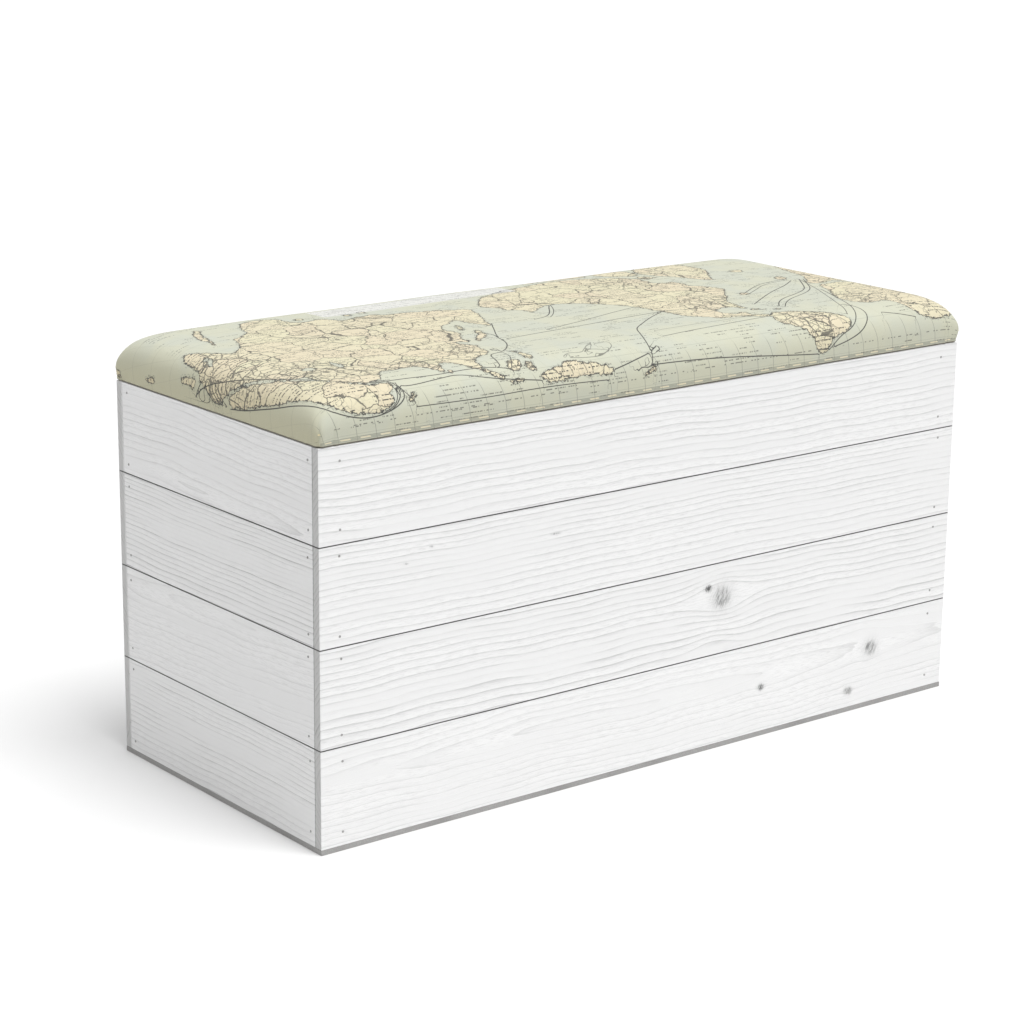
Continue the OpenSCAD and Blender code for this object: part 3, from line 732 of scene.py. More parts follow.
def plank(name, seed, corner, along, outward, length, height, heads, notches=()):
    """A plank with growth rings in relief, eased edges, and a small dent round each nail head."""
    grain = GRAIN.get(name, PLAIN_GRAIN)
    along, outward, up = np.array(along), np.array(outward), np.array((0, 0, 1.0))
    nails = [((head - corner) @ along, (head - corner) @ up) for head in heads]
    spots = sorted({round(s, 1) for s, _ in nails})
    t_line, d_line, count, inner = plank_section(height)
    s, t = np.meshgrid(stations(length, spots, notches), t_line, indexing="ij")
    depth = np.broadcast_to(d_line, s.shape).copy()
    ring = rings(s, t, depth, seed, grain)
    shade = knot_shade(s, t, grain)
    # painted shade for the joints, which darkens the plank edges where they meet their neighbours
    gap_shade = joint_painted_shade(name, s, t, length, height)
    contrast = grain.get("contrast", 0.9)
    for low, high in notches:
        cut = (s > low - 0.001) & (s < high + 0.001)
        t = np.where(cut, np.minimum(t, height - (WALL_TOP - LEAF_LOW[2] + 1.75)), t)
    depth = worn_depth(s, t, depth, length, height, ridge(ring) * contrast, shade, nails)

    points = corner + s[..., None] * along + t[..., None] * up - depth[..., None] * outward
    faces = grid_faces(*s.shape, closed=True)
    wall_count = len(faces)
    faces += end_faces(*s.shape, count, inner)
    if np.dot(np.cross(along, up), outward) > 0:
        faces = [f[::-1] for f in faces]
    board = name.replace("_plank_", "_board_")
    made = mesh_object(board, points.reshape(-1, 3), faces, [FACE_PINE, END_PINE])
    for polygon in made.data.polygons[wall_count:]:
        polygon.material_index = 1
        polygon.use_smooth = False
    store(made, "ring", ring.ravel())
    store(made, "knot", shade.ravel())
    store(made, "joint", gap_shade.ravel())
    store(made, "contrast", np.full(s.size, contrast))
    store(made, "grain", np.stack([s + 900 * seed, t, depth], -1).reshape(-1, 3))
    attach(made, "box")
    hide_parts(name)


FACE_PINE = pine("whitewashed_pine", (0.885, 0.885, 0.883), (0.32, 0.32, 0.315), 0.85)
END_PINE = pine("whitewashed_end_grain", (0.58, 0.58, 0.575), (0.17, 0.17, 0.165), 1.0)


def build_planks():
    """All sixteen planks: long ones in front and behind, short ones between them at the ends."""
    walls = {
        "front": ((1, 0, 0), (0, -1, 0), 1),
        "back": ((1, 0, 0), (0, 1, 0), 1),
        "left": ((0, 1, 0), (-1, 0, 0), 0),
        "right": ((0, 1, 0), (1, 0, 0), 0),
    }
    for number, (wall, (along, outward, axis)) in enumerate(walls.items()):
        side = np.array(outward, float)
        level = abs((side * WALL_HIGH).sum()) - 0.01
        heads = clusters(f"{wall}_nails", lambda points: points @ side > level)
        for row in range(1, 5):
            name = f"{wall}_plank_{row}"
            low, high = corners(name)
            corner = np.where(side > 0, high, low)
            corner[2] = low[2]
            corner[1 - axis] = low[1 - axis]
            mine = [head for head in heads if low[2] < head[2] < high[2]]
            notches = []
            if name == "back_plank_4":
                reach = HINGE_HALF + 0.05
                notches = [(x - reach - low[0], x + reach - low[0]) for x in HINGE_X]
            length = (high - low)[1 - axis]
            plank(name, 4 * number + row, corner, along, outward, length, high[2] - low[2], mine, notches)


# ---------- the chart's outlines ----------
# Places on the cloth in millimetres: u from the box's left edge and v from its front edge, along
# the surface. Negative places are on the parts that turn down. The outlines are drawn as the
# printed chart shows them: pressed together at the front, and leaning left towards the back.

LANDS = {
    "eurasia": [
        (-25, 163), (-27, 178), (-17, 187), (-12, 200), (-5, 206), (-1, 214), (0, 230), (4, 244),
        (10, 251), (16, 241), (22, 227), (29, 210), (38, 200), (46, 209), (54, 216), (62, 227),
        (67, 242), (74, 258), (84, 261), (92, 268), (99, 272), (103, 286), (109, 302), (120, 318),
        (138, 326), (153, 322), (163, 312), (161, 297), (170, 282), (184, 284), (196, 288), (205, 278),
        (208, 263), (222, 266), (233, 274), (242, 268), (252, 276), (262, 264), (288, 262), (302, 254),
        (318, 252), (334, 242), (352, 236), (347, 220), (341, 204), (333, 188), (325, 175), (321, 161),
        (315, 148), (310, 158), (305, 176), (304, 190), (295, 192), (284, 182), (274, 178), (265, 168),
        (261, 156), (267, 144), (264, 133), (256, 124), (250, 116), (253, 104), (247, 100), (241, 109),
        (234, 104), (241, 90), (246, 83), (240, 73), (242, 61), (235, 50), (223, 46), (211, 42),
        (204, 33), (206, 21), (200, 14), (194, 20), (187, 32), (180, 42), (171, 46), (166, 35),
        (160, 19), (154, 29), (147, 43), (137, 48), (122, 46), (108, 47), (100, 46), (96, 36), (86, 26),
        (74, 23), (61, 27), (51, 34), (44, 44), (38, 54), (34, 64), (38, 72), (29, 72), (20, 84),
        (16, 96), (11, 107), (6, 119), (1, 131), (-6, 140), (-11, 147), (-18, 157),
    ],
    "africa": [
        (-21, 151), (-12, 142), (-3, 129), (3, 116), (8, 102), (14, 89), (21, 75), (28, 63), (35, 53),
        (42, 42), (51, 31), (62, 23), (74, 18), (86, 19), (95, 15), (90, 8), (84, 3), (88, -3), (84, -8),
        (73, -12), (62, -14), (52, -13), (42, -11), (33, -8), (26, -4), (20, 1), (12, 11), (6, 25), (1, 41),
        (-4, 53), (-10, 71), (-17, 100), (-23, 121), (-26, 143),
    ],
    "madagascar": [(102, -7), (106, -1), (111, 1), (112, -4), (107, -9)],
    "britain": [(-20, 212), (-17, 222), (-18, 232), (-13, 237), (-11, 226), (-8, 214), (-13, 209)],
    "iceland_west": [(-30, 306), (-25, 302), (-21, 292), (-23, 284), (-29, 290)],
    "left_corner_island": [(-34, 352), (-27, 358), (-21, 366), (-16, 380), (-24, 377), (-34, 366)],
    "long_arctic_island": [
        (41, 242), (46, 258), (44, 275), (48, 292), (56, 306), (63, 318), (68, 315), (61, 301), (55, 285),
        (51, 267), (46, 248),
    ],
    "arctic_island_a": [(172, 296), (180, 292), (186, 298), (178, 304)],
    "arctic_island_b": [(226, 286), (233, 281), (238, 287), (232, 293)],
    "arctic_island_c": [(247, 292), (252, 286), (258, 290), (252, 297)],
    "japan": [
        (258, 95), (266, 102), (276, 108), (284, 117), (288, 128), (291, 137), (286, 142), (282, 134),
        (279, 124), (271, 116), (262, 107),
    ],
    "sakhalin": [(274, 147), (279, 158), (284, 170), (288, 172), (286, 160), (280, 148)],
    "taiwan": [(247, 58), (250, 65), (253, 60), (250, 53)],
    "philippines": [(256, 46), (262, 38), (259, 28), (266, 20), (271, 25), (266, 36), (262, 48)],
    "borneo": [(229, 12), (237, 22), (246, 26), (251, 18), (244, 8), (234, 5)],
    "sumatra": [(195, 25), (206, 15), (216, 6), (222, 1), (216, -2), (206, 7), (196, 17)],
    "java": [(221, -3), (232, -2), (242, -3), (240, -6), (228, -6)],
    "sulawesi": [(254, 18), (262, 16), (258, 9), (263, 4), (256, 1), (252, 10)],
    "sri_lanka": [(163, 19), (166, 25), (170, 21), (166, 16)],
    "australia": [
        (261, -5), (268, 0), (279, 3), (290, 4), (298, 8), (308, 8), (318, 5), (325, 1), (331, 4),
        (336, -1), (346, -4), (354, -9), (348, -14), (336, -11), (327, -10), (316, -10), (300, -10),
        (287, -12), (272, -11),
    ],
    "new_zealand": [(412, -9), (405, -13), (397, -15), (390, -20), (399, -19), (409, -14)],
    "north_america": [
        (372, 228), (368, 239), (376, 251), (386, 264), (396, 276), (410, 285), (426, 291), (444, 301),
        (464, 306), (486, 310), (508, 318), (532, 322), (554, 318), (574, 310), (594, 300), (608, 288),
        (618, 270), (613, 256), (622, 246), (633, 238), (640, 222), (634, 208), (646, 196), (653, 182),
        (655, 168), (644, 157), (634, 146), (625, 131), (613, 122), (606, 110), (604, 97), (601, 84),
        (604, 75), (598, 76), (593, 87), (583, 89), (571, 88), (563, 82), (561, 72), (567, 63),
        (574, 58), (582, 64), (587, 58), (583, 50), (592, 46), (603, 40), (598, 33), (587, 39),
        (576, 45), (560, 51), (546, 51), (538, 57), (533, 66), (524, 71), (517, 79), (513, 92),
        (511, 105), (506, 117), (505, 128), (500, 140), (496, 152), (484, 166), (470, 181), (455, 194),
        (440, 200), (424, 200), (411, 191), (399, 184), (390, 178), (393, 190), (387, 201), (377, 205),
        (382, 217),
    ],
    "baffin": [(622, 266), (633, 251), (643, 240), (650, 250), (642, 268), (632, 283), (621, 281)],
    "arctic_america": [(600, 306), (620, 294), (637, 292), (643, 318), (636, 340), (610, 346), (596, 330)],
    "victoria": [
        (498, 326), (520, 332), (548, 328), (580, 320), (590, 334), (580, 350), (545, 352), (505, 346),
    ],
    "newfoundland": [(646, 137), (655, 144), (663, 137), (654, 130)],
    "cuba": [(599, 70), (610, 68), (621, 61), (611, 62), (601, 66)],
    "hispaniola": [(624, 60), (633, 58), (637, 53), (626, 54)],
    "greenland": [
        (642, 298), (650, 318), (664, 336), (690, 345), (716, 345), (728, 330), (725, 306), (728, 284),
        (714, 262), (698, 243), (684, 218), (676, 228), (668, 244), (658, 266), (646, 284),
    ],
    "iceland": [(738, 252), (748, 260), (759, 258), (757, 250), (747, 245)],
    "south_america": [
        (604, 40), (597, 29), (595, 20), (603, 13), (613, 8), (620, 3), (625, -4), (628, -11),
        (630, -19), (634, -25), (641, -28), (648, -24), (652, -16), (658, -10), (671, -9), (682, -5),
        (688, 2), (690, 8), (683, 14), (674, 21), (662, 29), (650, 33), (638, 40), (624, 43), (612, 48),
    ],
    "britain_east": [(750, 186), (756, 197), (766, 201), (768, 190), (759, 181)],
    "europe_east": [
        (768, 144), (765, 157), (776, 162), (782, 174), (792, 184), (797, 200), (802, 222), (810, 244),
        (822, 266), (840, 282), (890, 286), (890, 142), (850, 147), (830, 151), (812, 146), (797, 151),
        (783, 142),
    ],
    "africa_east": [
        (768, 136), (760, 124), (754, 108), (742, 90), (732, 74), (726, 58), (728, 46), (737, 37),
        (753, 34), (768, 35), (775, 26), (780, 15), (785, 6), (792, -2), (805, -7), (819, -8), (836, -4),
        (848, 4), (862, 14), (890, 30), (890, 130), (860, 136), (838, 133), (820, 135), (800, 139),
        (784, 136),
    ],
}
SEAS = {
    "hudson_bay": [
        (612, 246), (618, 236), (630, 233), (645, 240), (654, 256), (648, 268), (632, 268), (618, 260),
    ],
    "black_sea": [(44, 92), (52, 88), (62, 91), (60, 98), (50, 100)],
    "caspian": [(82, 84), (88, 82), (90, 94), (88, 108), (82, 104)],
    "baltic": [(8, 196), (13, 202), (17, 214), (14, 222), (10, 210), (6, 200)],
}

# Lines drawn over the chart, in sets whose lines keep apart: cables first, then rivers and borders
CABLES = [
    [
        [(774, 175), (755, 150), (738, 128), (722, 116), (700, 106), (674, 96), (654, 82), (640, 66)],
        [(758, 171), (728, 150), (694, 133), (660, 112), (623, 87)],
        [(708, 42), (717, 30), (719, 14), (713, 2), (699, -10), (679, -17), (656, -22)],
        [(407, 2), (410, 14), (416, 28), (423, 42), (433, 60), (450, 72), (480, 92), (517, 111)],
        [(287, 90), (330, 94), (400, 100), (450, 105), (512, 108)],
        [
            (-29, 212), (-22, 204), (-15, 194), (-9, 180), (-4, 162), (2, 142), (8, 121), (15, 100),
            (25, 76), (35, 57), (47, 40), (61, 29), (75, 22), (95, 21), (120, 20), (150, 18), (185, 20),
            (214, 17), (234, 9),
        ],
        [(-28, 148), (-25, 122), (-19, 96), (-12, 66), (-6, 46), (0, 24), (8, 6), (19, -6), (38, -15),
         (60, -18), (82, -14), (98, -6), (101, 4), (97, 14)],
        [
            (284, 132), (290, 112), (284, 98), (281, 84), (274, 70), (262, 56), (250, 48), (232, 46),
            (228, 30), (224, 17),
        ],
        [(353, -9), (368, -6), (385, -2), (402, 2), (413, 7), (420, 12), (421, 5), (414, 3)],
        [(430, 198), (420, 186), (410, 172), (399, 160), (388, 153), (372, 150)],
    ],
    [
        [(777, 171), (759, 146), (743, 124), (725, 110), (703, 100), (679, 90), (659, 76), (644, 61)],
        [(748, 113), (734, 80), (722, 52), (712, 28), (702, 10), (688, -4), (666, -11), (647, -26)],
        [(762, 182), (735, 178), (706, 170), (680, 154), (652, 136)],
        [(350, 103), (380, 110), (420, 120), (460, 131), (503, 141)],
        [(-30, 203), (-21, 203), (-14, 193), (-20, 185), (-27, 177), (-24, 166), (-29, 158)],
        [(400, -10), (440, -11), (480, -13), (520, -16), (560, -20), (600, -24), (634, -27)],
        [(322, 158), (314, 146), (304, 130), (292, 112), (286, 100)],
        [(-8, 197), (-13, 201), (-18, 204), (-27, 209)],
        [(-11, 193), (-17, 188), (-27, 183)],
        [(-6, 182), (-14, 180), (-20, 174), (-28, 163)],
        [(-4, 172), (-14, 169), (-20, 162), (-27, 152)],
        [(76, 26), (90, 24), (97, 14), (97, 2), (90, -8), (80, -14)],
        [(98, 12), (108, 8), (150, 12), (170, 14), (200, 3), (230, -3), (262, -8)],
        [(407, 2), (405, -6), (400, -13), (388, -10), (382, -16)],
    ],
    [
        [(771, 168), (757, 141), (744, 114), (730, 88), (717, 64), (707, 45), (700, 28), (692, 14)],
        [(760, 177), (734, 173), (708, 165), (684, 149), (656, 132)],
        [(738, 10), (760, 4), (783, -3)],
        [(110, -14), (150, -15), (200, -16), (250, -15), (300, -16), (345, -18)],
        [(600, 36), (560, 34), (520, 32), (480, 30), (440, 26)],
        [(433, 200), (424, 184), (414, 170), (402, 157), (392, 149)],
        [(249, 47), (249, 33), (240, 20), (233, 9)],
        [(94, 14), (99, 8), (104, -2), (110, -10)],
        [(-9, 192), (-17, 194), (-28, 192)],
        [(-8, 188), (-16, 184), (-22, 178), (-29, 170)],
        [(-5, 177), (-14, 174), (-21, 167), (-28, 157)],
        [(74, 20), (86, 21), (93, 12), (93, 0), (86, -10), (70, -16)],
    ],
    [
        [(122, 215), (150, 217), (175, 222), (205, 222), (250, 228)],
        [(99, 272), (104, 258), (107, 242), (115, 228), (123, 214)],
        [(161, 297), (155, 280), (150, 262), (158, 240), (152, 226)],
        [(207, 264), (203, 250), (207, 236), (216, 222)],
        [(81, 206), (82, 190), (88, 176), (98, 168), (112, 174), (125, 166)],
        [(128, 202), (136, 188), (144, 174), (150, 162)],
        [(98, 164), (97, 150), (92, 130)],
        [(190, 158), (198, 178), (214, 184), (233, 192)],
        [(204, 116), (218, 122), (228, 140), (230, 150)],
        [(410, 285), (420, 262), (412, 246), (404, 226), (396, 206)],
        [(500, 140), (530, 146), (560, 150), (592, 146), (612, 150)],
        [(540, 92), (556, 100), (562, 122), (566, 146)],
        [
            (331, 21), (338, 26), (346, 33), (358, 31), (372, 33), (370, 22), (360, 15), (350, 10),
            (338, 14), (331, 21),
        ],
        [(302, 16), (312, 21), (324, 17), (336, 22), (350, 19), (362, 13), (346, 8), (326, 9), (308, 12)],
        [(336, 36), (346, 40), (356, 36), (346, 27)],
        [(640, 30), (646, 18), (640, 4), (648, -6), (640, -14)],
        [(660, 26), (664, 14), (658, 4), (668, -4)],
        [(300, 6), (302, -10)],
        [(318, 4), (320, -9)],
        [(440, 44), (500, 46), (556, 44), (600, 46)],
    ],
]

# Where the chart is crowded with small borders: middle, width and depth of each patch
BUSY = [
    (10, 165, 40, 70), (60, 80, 50, 40), (150, 50, 30, 25), (225, 70, 35, 35), (240, 20, 30, 22),
    (590, 110, 50, 40), (600, 260, 60, 40), (810, 175, 50, 45), (760, 55, 30, 25), (640, 20, 40, 25),
    (850, 80, 50, 70),
]


def segment_distance(points, line):
    """Distance to the nearest segment of a line, the side of it, and whether its foot is past an end."""
    start, end = line[:-1], line[1:]
    along = end - start
    reach = points[:, None] - start
    share = (reach * along).sum(2) / (along**2).sum(1)
    gap = reach - np.clip(share, 0, 1)[..., None] * along
    distance = np.hypot(gap[..., 0], gap[..., 1])
    nearest = distance.argmin(1)
    pick = np.arange(len(points)), nearest
    side = along[nearest, 0] * gap[pick][:, 1] - along[nearest, 1] * gap[pick][:, 0]
    past = ((nearest == 0) & (share[pick] < 0)) | ((nearest == len(along) - 1) & (share[pick] > 1))
    return distance[pick], side, past


def rounded(line, rounds=2, closed=False):
    """A line with its corners cut, so that it runs in curves."""
    line = np.array(line, float)
    for _ in range(rounds):
        after = np.roll(line, -1, axis=0) if closed else line[1:]
        before = line if closed else line[:-1]
        cut = np.stack([0.75 * before + 0.25 * after, 0.25 * before + 0.75 * after], 1).reshape(-1, 2)
        line = cut if closed else np.vstack([line[:1], cut, line[-1:]])
    return line


def inside(points, outline):
    """Whether each point lies inside a closed outline."""
    x, y = points[:, 0], points[:, 1]
    odd = np.zeros(len(points), bool)
    for (x0, y0), (x1, y1) in zip(outline, np.roll(outline, -1, axis=0)):
        if y0 != y1:
            crosses = (y0 > y) != (y1 > y)
            odd ^= crosses & (x < x0 + (y - y0) * (x1 - x0) / (y1 - y0))
    return odd


def outline_distance(points, outline):
    """Signed distance to a closed outline, positive inside."""
    outline = rounded(outline, 1, closed=True)
    distance = segment_distance(points, np.vstack([outline, outline[:1]]))[0]
    return np.where(inside(points, outline), distance, -distance)


def coast_distance(points):
    """Signed distance to the nearest coast, positive on land."""
    far = np.full(len(points), -400.0)
    for outline in LANDS.values():
        far = np.maximum(far, outline_distance(points, outline))
    for outline in SEAS.values():
        far = np.minimum(far, -outline_distance(points, outline))
    return far


def route_distance(points, lines):
    """Distance to the nearest line of a set, with the sign of the side that the point is on."""
    best = np.full(len(points), 400.0)
    for line in lines:
        distance, side, past = segment_distance(points, rounded(line))
        signed = np.where(past | (side > 0), distance, -distance)
        best = np.where(distance < np.abs(best), signed, best)
    return best


def busy_share(points):
    """1 in the crowded parts of the chart, 0 far from them."""
    share = np.zeros(len(points))
    for u, v, wide, deep in BUSY:
        away = ((points[:, 0] - u) / wide) ** 2 + ((points[:, 1] - v) / deep) ** 2
        share = np.maximum(share, np.exp(-away))
    return step(share, 0.25, 0.55)


# ---------- padded lid ----------

# The pad bulges past the walls by these amounts at the ends, the front and the back
SWELL_END, SWELL_FRONT, SWELL_BACK = 2.4, 3.9, 3.1
HEM_Z = WALL_TOP + 3.0     # where the cloth turns under the lid
SHOULDER_Z = WALL_TOP + 50.1
ROLL = 70.0                # width of the rolled edge
ROLL_POWER = 3.57          # the squareness of its curve
CROWN = 5.6
CORNER_R = 5.0
TUCK, TUCK_HEIGHT = 3.2, 20.0  # how far, and how high up, the cloth draws in above its hem
TURN_IN = 45.0
CLOTH_GAP = 0.25           # between the turned-in cloth and the plane of the wall tops
CLOTH_T = 0.7

# Rings of cloth under the hem: how far in from the edge, and how high above the wall tops
HEM_RINGS = [(0.1, 2.2), (0.4, 1.2), (1.2, 0.55)]
HEM_RINGS += [(inward, CLOTH_GAP) for inward in (4.0, 9.0, 16.0, 23.0, 30.0, 37.0, TURN_IN)]


def edge_places(low, high, count):
    """Places from low to high, close together where the pad's edge is steep."""
    t = np.linspace(0, 1, count)
    bend = 0.18
    first = ROLL * (1 - np.cos(t / bend * np.pi / 2))
    last = (high - low) - ROLL * (1 - np.cos((1 - t) / bend * np.pi / 2))
    middle = ROLL + (t - bend) / (1 - 2 * bend) * ((high - low) - 2 * ROLL)
    return low + np.where(t < bend, first, np.where(t > 1 - bend, last, middle))


def roll(distance):
    """Height share of the pad this far in from its edge."""
    share = np.clip(1 - distance / ROLL, 0, 1)
    return (1 - share**ROLL_POWER) ** (1 / ROLL_POWER)


def pad_surface(columns, rows, inset=0.0):
    """The pad's upper surface as a grid of points, with the distances in from the nearest edges."""
    x = edge_places(-HALF_W - SWELL_END + inset, HALF_W + SWELL_END - inset, columns)
    y = edge_places(-HALF_D - SWELL_FRONT + inset, HALF_D + SWELL_BACK - inset, rows)
    from_x = np.minimum(x - x[0], x[-1] - x)
    from_y = np.minimum(y - y[0], y[-1] - y)
    share = np.outer(roll(from_x), roll(from_y)) ** 0.95
    swell = np.outer(
        np.sin(np.pi * (x - x[0]) / (x[-1] - x[0])).clip(0) ** 0.7,
        np.sin(np.pi * (y - y[0]) / (y[-1] - y[0])).clip(0) ** 0.7,
    )
    z = HEM_Z + (SHOULDER_Z - HEM_Z - inset) * share + CROWN * swell
    points = np.stack([*np.meshgrid(x, y, indexing="ij"), z], -1)
    return points, from_x, from_y


def round_corners(points):
    """Rounds the pad's corners as seen from above."""
    x, y = points[..., 0], points[..., 1]
    past_x = np.abs(x) - (np.abs(x).max() - CORNER_R)
    past_y = np.abs(y) - (np.abs(y).max() - CORNER_R)
    both = (past_x > 0) & (past_y > 0)
    square = np.maximum(past_x, past_y)
    pull = np.where(both, square / np.hypot(past_x, past_y).clip(0.01), 1.0)
    near_x = np.sign(x) * (np.abs(x) + np.where(both, past_x * (pull - 1), 0))
    near_y = np.sign(y) * (np.abs(y) + np.where(both, past_y * (pull - 1), 0))
    return np.stack([near_x, near_y, points[..., 2]], -1)


def tuck_in(points, from_x, from_y):
    """Draws the lower part of the pad in towards its hem, so that the sides bulge above it."""
    x, y, z = (points[..., i].copy() for i in range(3))
    low = 1 - np.sin(np.clip((z - HEM_Z) / TUCK_HEIGHT, 0, 1) * np.pi / 2)
    x -= np.sign(x) * (SWELL_END - 0.2) * low * (1 - step(from_x, 8, 26))[:, None]
    y -= np.sign(y) * np.where(y < 0, TUCK, TUCK - 0.6) * low * (1 - step(from_y, 8, 26))[None, :]
    return np.stack([x, y, z], -1)


def arc_places(section):
    """Length along a section of the pad, from its middle."""
    run = np.concatenate([[0], np.cumsum(np.linalg.norm(np.diff(section, axis=0), axis=1))])
    return run - run[-1] / 2


def creases(points, from_x, from_y):
    """Small folds: gathers at the corners, and slack pulled towards the staples along the hem."""
    x, y, z = points[..., 0], points[..., 1], points[..., 2]
    low = 1 - step(z, HEM_Z + 2, HEM_Z + 34)
    corner_x = HALF_W - 34 - np.abs(x)
    corner_y = HALF_D - 34 - np.abs(y)
    angle = np.arctan2(-corner_y, -corner_x)
    at_corner = step(-corner_x, 0, 18) * step(-corner_y, 0, 18)
    gather = (np.sin(angle * 22) + 0.5 * np.sin(angle * 37 + 1)) * at_corner * (0.25 + 0.75 * low)
    front = 1 - step(from_y, 2, 30)
    end = 1 - step(from_x, 2, 30)
    pulls = np.sin(x / 9.7 + 1.3 * np.sin(x / 71)) * front[None, :] * step(np.abs(corner_x), 8, 60)
    pulls += np.sin(y / 8.3 + 1.1 * np.sin(y / 53)) * end[:, None] * step(np.abs(corner_y), 8, 40)
    sag = 0.8 * np.sin(x / 97 + 0.6) * np.sin(y / 61 + 1.1) + 0.5 * np.sin(x / 41 + y / 67)
    flat = step(z, SHOULDER_Z - 12, SHOULDER_Z)
    return 0.55 * gather + 0.16 * pulls * low + 0.45 * sag * flat


def surface_normals(points):
    """Unit normals of a grid of points."""
    normal = np.cross(np.gradient(points, axis=0), np.gradient(points, axis=1))
    return normal / np.linalg.norm(normal, axis=-1, keepdims=True)


def rim(grid):
    """The outermost points of a grid, once round it."""
    return np.concatenate([grid[:-1, 0], grid[-1, :-1], grid[:0:-1, -1], grid[0, :0:-1]])


def clear_of_hinges(points):
    """Presses the cloth back from the knuckles, and flat against the board behind the leaves."""
    x, y, z = points.T.copy()
    near = np.zeros(len(x))
    for hinge in HINGE_X:
        near = np.maximum(near, 1 - step(np.abs(x - hinge), HINGE_HALF + 0.5, HINGE_HALF + 6))
    knuckle_r = (LEAF_HIGH[1] - HALF_D) / 2 + 0.6
    away = np.hypot(y - (HALF_D + knuckle_r), z - WALL_TOP)
    y = y - near * (y > HALF_D - 2) * np.clip(knuckle_r + 0.3 - away, 0, None)
    pressed = near * (z < WALL_TOP + 1) * step(y, LEAF_LOW[1] - 6, LEAF_LOW[1] - 1)
    z = np.where(pressed > 0, z + pressed * (BOARD_LOW - 0.05 - z).clip(0), z)
    return np.stack([x, y, z], -1)


def turned_hem(points, cloth):
    """Rings of cloth turned in under the board: points, places on the cloth, and cloth used up."""
    outer, outer_cloth = rim(points), rim(cloth)
    first, last = cloth[0, 0, :2], cloth[-1, -1, :2]
    at_rim = (outer_cloth[:, :2] <= first) | (outer_cloth[:, :2] >= last)
    out_way = np.sign(outer_cloth[:, :2] - (HALF_W, HALF_D)) * at_rim
    hem = []
    for inward, height in HEM_RINGS:
        scale = 1 - inward / np.array((HALF_W, HALF_D))
        ruffle = 0.12 * np.sin(outer[:, 0] / 7 + outer[:, 1] / 5) * (inward > 5)
        ring = np.column_stack([outer[:, :2] * scale, WALL_TOP + height + np.abs(ruffle)])
        used = (HEM_Z - WALL_TOP - height) + inward
        places = outer_cloth + np.column_stack([out_way * used, np.zeros(len(outer))])
        hem.append((ring, places, np.full(len(outer), used)))
    return hem


def hem_faces(columns, rows, ring_count):
    """Quads from the rim of a grid through rings of points that follow it in the mesh."""
    previous = rim(np.arange(columns * rows).reshape(columns, rows, 1))[:, 0]
    around, first = len(previous), columns * rows
    faces = []
    for _ in range(ring_count):
        current = np.arange(first, first + around)
        quads = np.stack([previous, current, np.roll(current, -1), np.roll(previous, -1)], -1)
        faces += quads.tolist()
        previous, first = current, first + around
    return faces


def print_chart(made, places, u, v):
    """Keeps on the cloth what its material needs to print the chart."""
    flat = places[:, :2]
    store(made, "cloth", places)
    store(made, "coast", coast_distance(flat))
    store(made, "busy", busy_share(flat))
    for i, lines in enumerate(CABLES):
        store(made, f"route_{i}", route_distance(flat, lines))
    sheet_low, sheet_high = np.array((u[0] - 6, v[0] + 0.6)), np.array((u[-1] + 6, v[-1] + 6))
    near_edge = np.minimum(flat - sheet_low, sheet_high - flat).min(1)
    at_end = np.minimum(flat[:, 0] - u[0], u[-1] - flat[:, 0]) < 26
    store(made, "sheet_edge", np.where(at_end, near_edge + 9, near_edge))
    in_title = np.minimum(flat - TITLE_LOW, TITLE_HIGH - flat).min(1)
    store(made, "panel", np.clip(in_title / 6.0, 0, 1))


def build_cover():
    """The printed cloth over the pad, turned in under the board."""
    columns, rows = 262, 140
    points, from_x, from_y = pad_surface(columns, rows)
    u = HALF_W + arc_places(points[:, rows // 2])
    v = HALF_D + arc_places(points[columns // 2])
    points = tuck_in(round_corners(points), from_x, from_y)
    points = points + surface_normals(points) * creases(points, from_x, from_y)[..., None]
    cloth = np.stack([*np.meshgrid(u, v, indexing="ij"), np.zeros((columns, rows))], -1)
    hem_points, hem_places, hem_used = zip(*turned_hem(points, cloth))
    shape = clear_of_hinges(np.vstack([points.reshape(-1, 3), *hem_points]))
    faces = grid_faces(columns, rows) + hem_faces(columns, rows, len(HEM_RINGS))
    made = mesh_object("printed_cover", shape, faces, [map_cloth("map_cloth")])
    print_chart(made, np.vstack([cloth.reshape(-1, 3), *hem_places]), u, v)
    store(made, "under", np.concatenate([np.zeros(columns * rows), *hem_used]))
    skin = made.modifiers.new("cloth", "SOLIDIFY")
    skin.thickness = CLOTH_T * MM
    skin.offset = -1.0
    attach(made, "lid")
    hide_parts("lid_cover")


def build_foam():
    """The foam block under the cover, domed on top and flat on the board."""
    points, _, _ = pad_surface(140, 72, inset=2.0)
    floor = BOARD_HIGH + 0.1
    upper = points.copy()
    upper[..., 2] = np.maximum(upper[..., 2] - 0.6, floor + 0.4)
    lower = points.copy()
    lower[..., 2] = floor
    count = points.shape[0] * points.shape[1]
    faces = grid_faces(*points.shape[:2])
    faces += [[i + count for i in face[::-1]] for face in grid_faces(*points.shape[:2])]
    index = np.arange(count).reshape(points.shape[:2])
    edge = rim(index[..., None])[:, 0]
    ahead = np.roll(edge, -1)
    faces += np.stack([edge, edge + count, ahead + count, ahead], -1).tolist()
    shape = np.vstack([upper.reshape(-1, 3), lower.reshape(-1, 3)])
    made = mesh_object("foam_pad", shape, faces, [foam("foam")])
    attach(made, "lid")
    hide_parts("lid_foam")


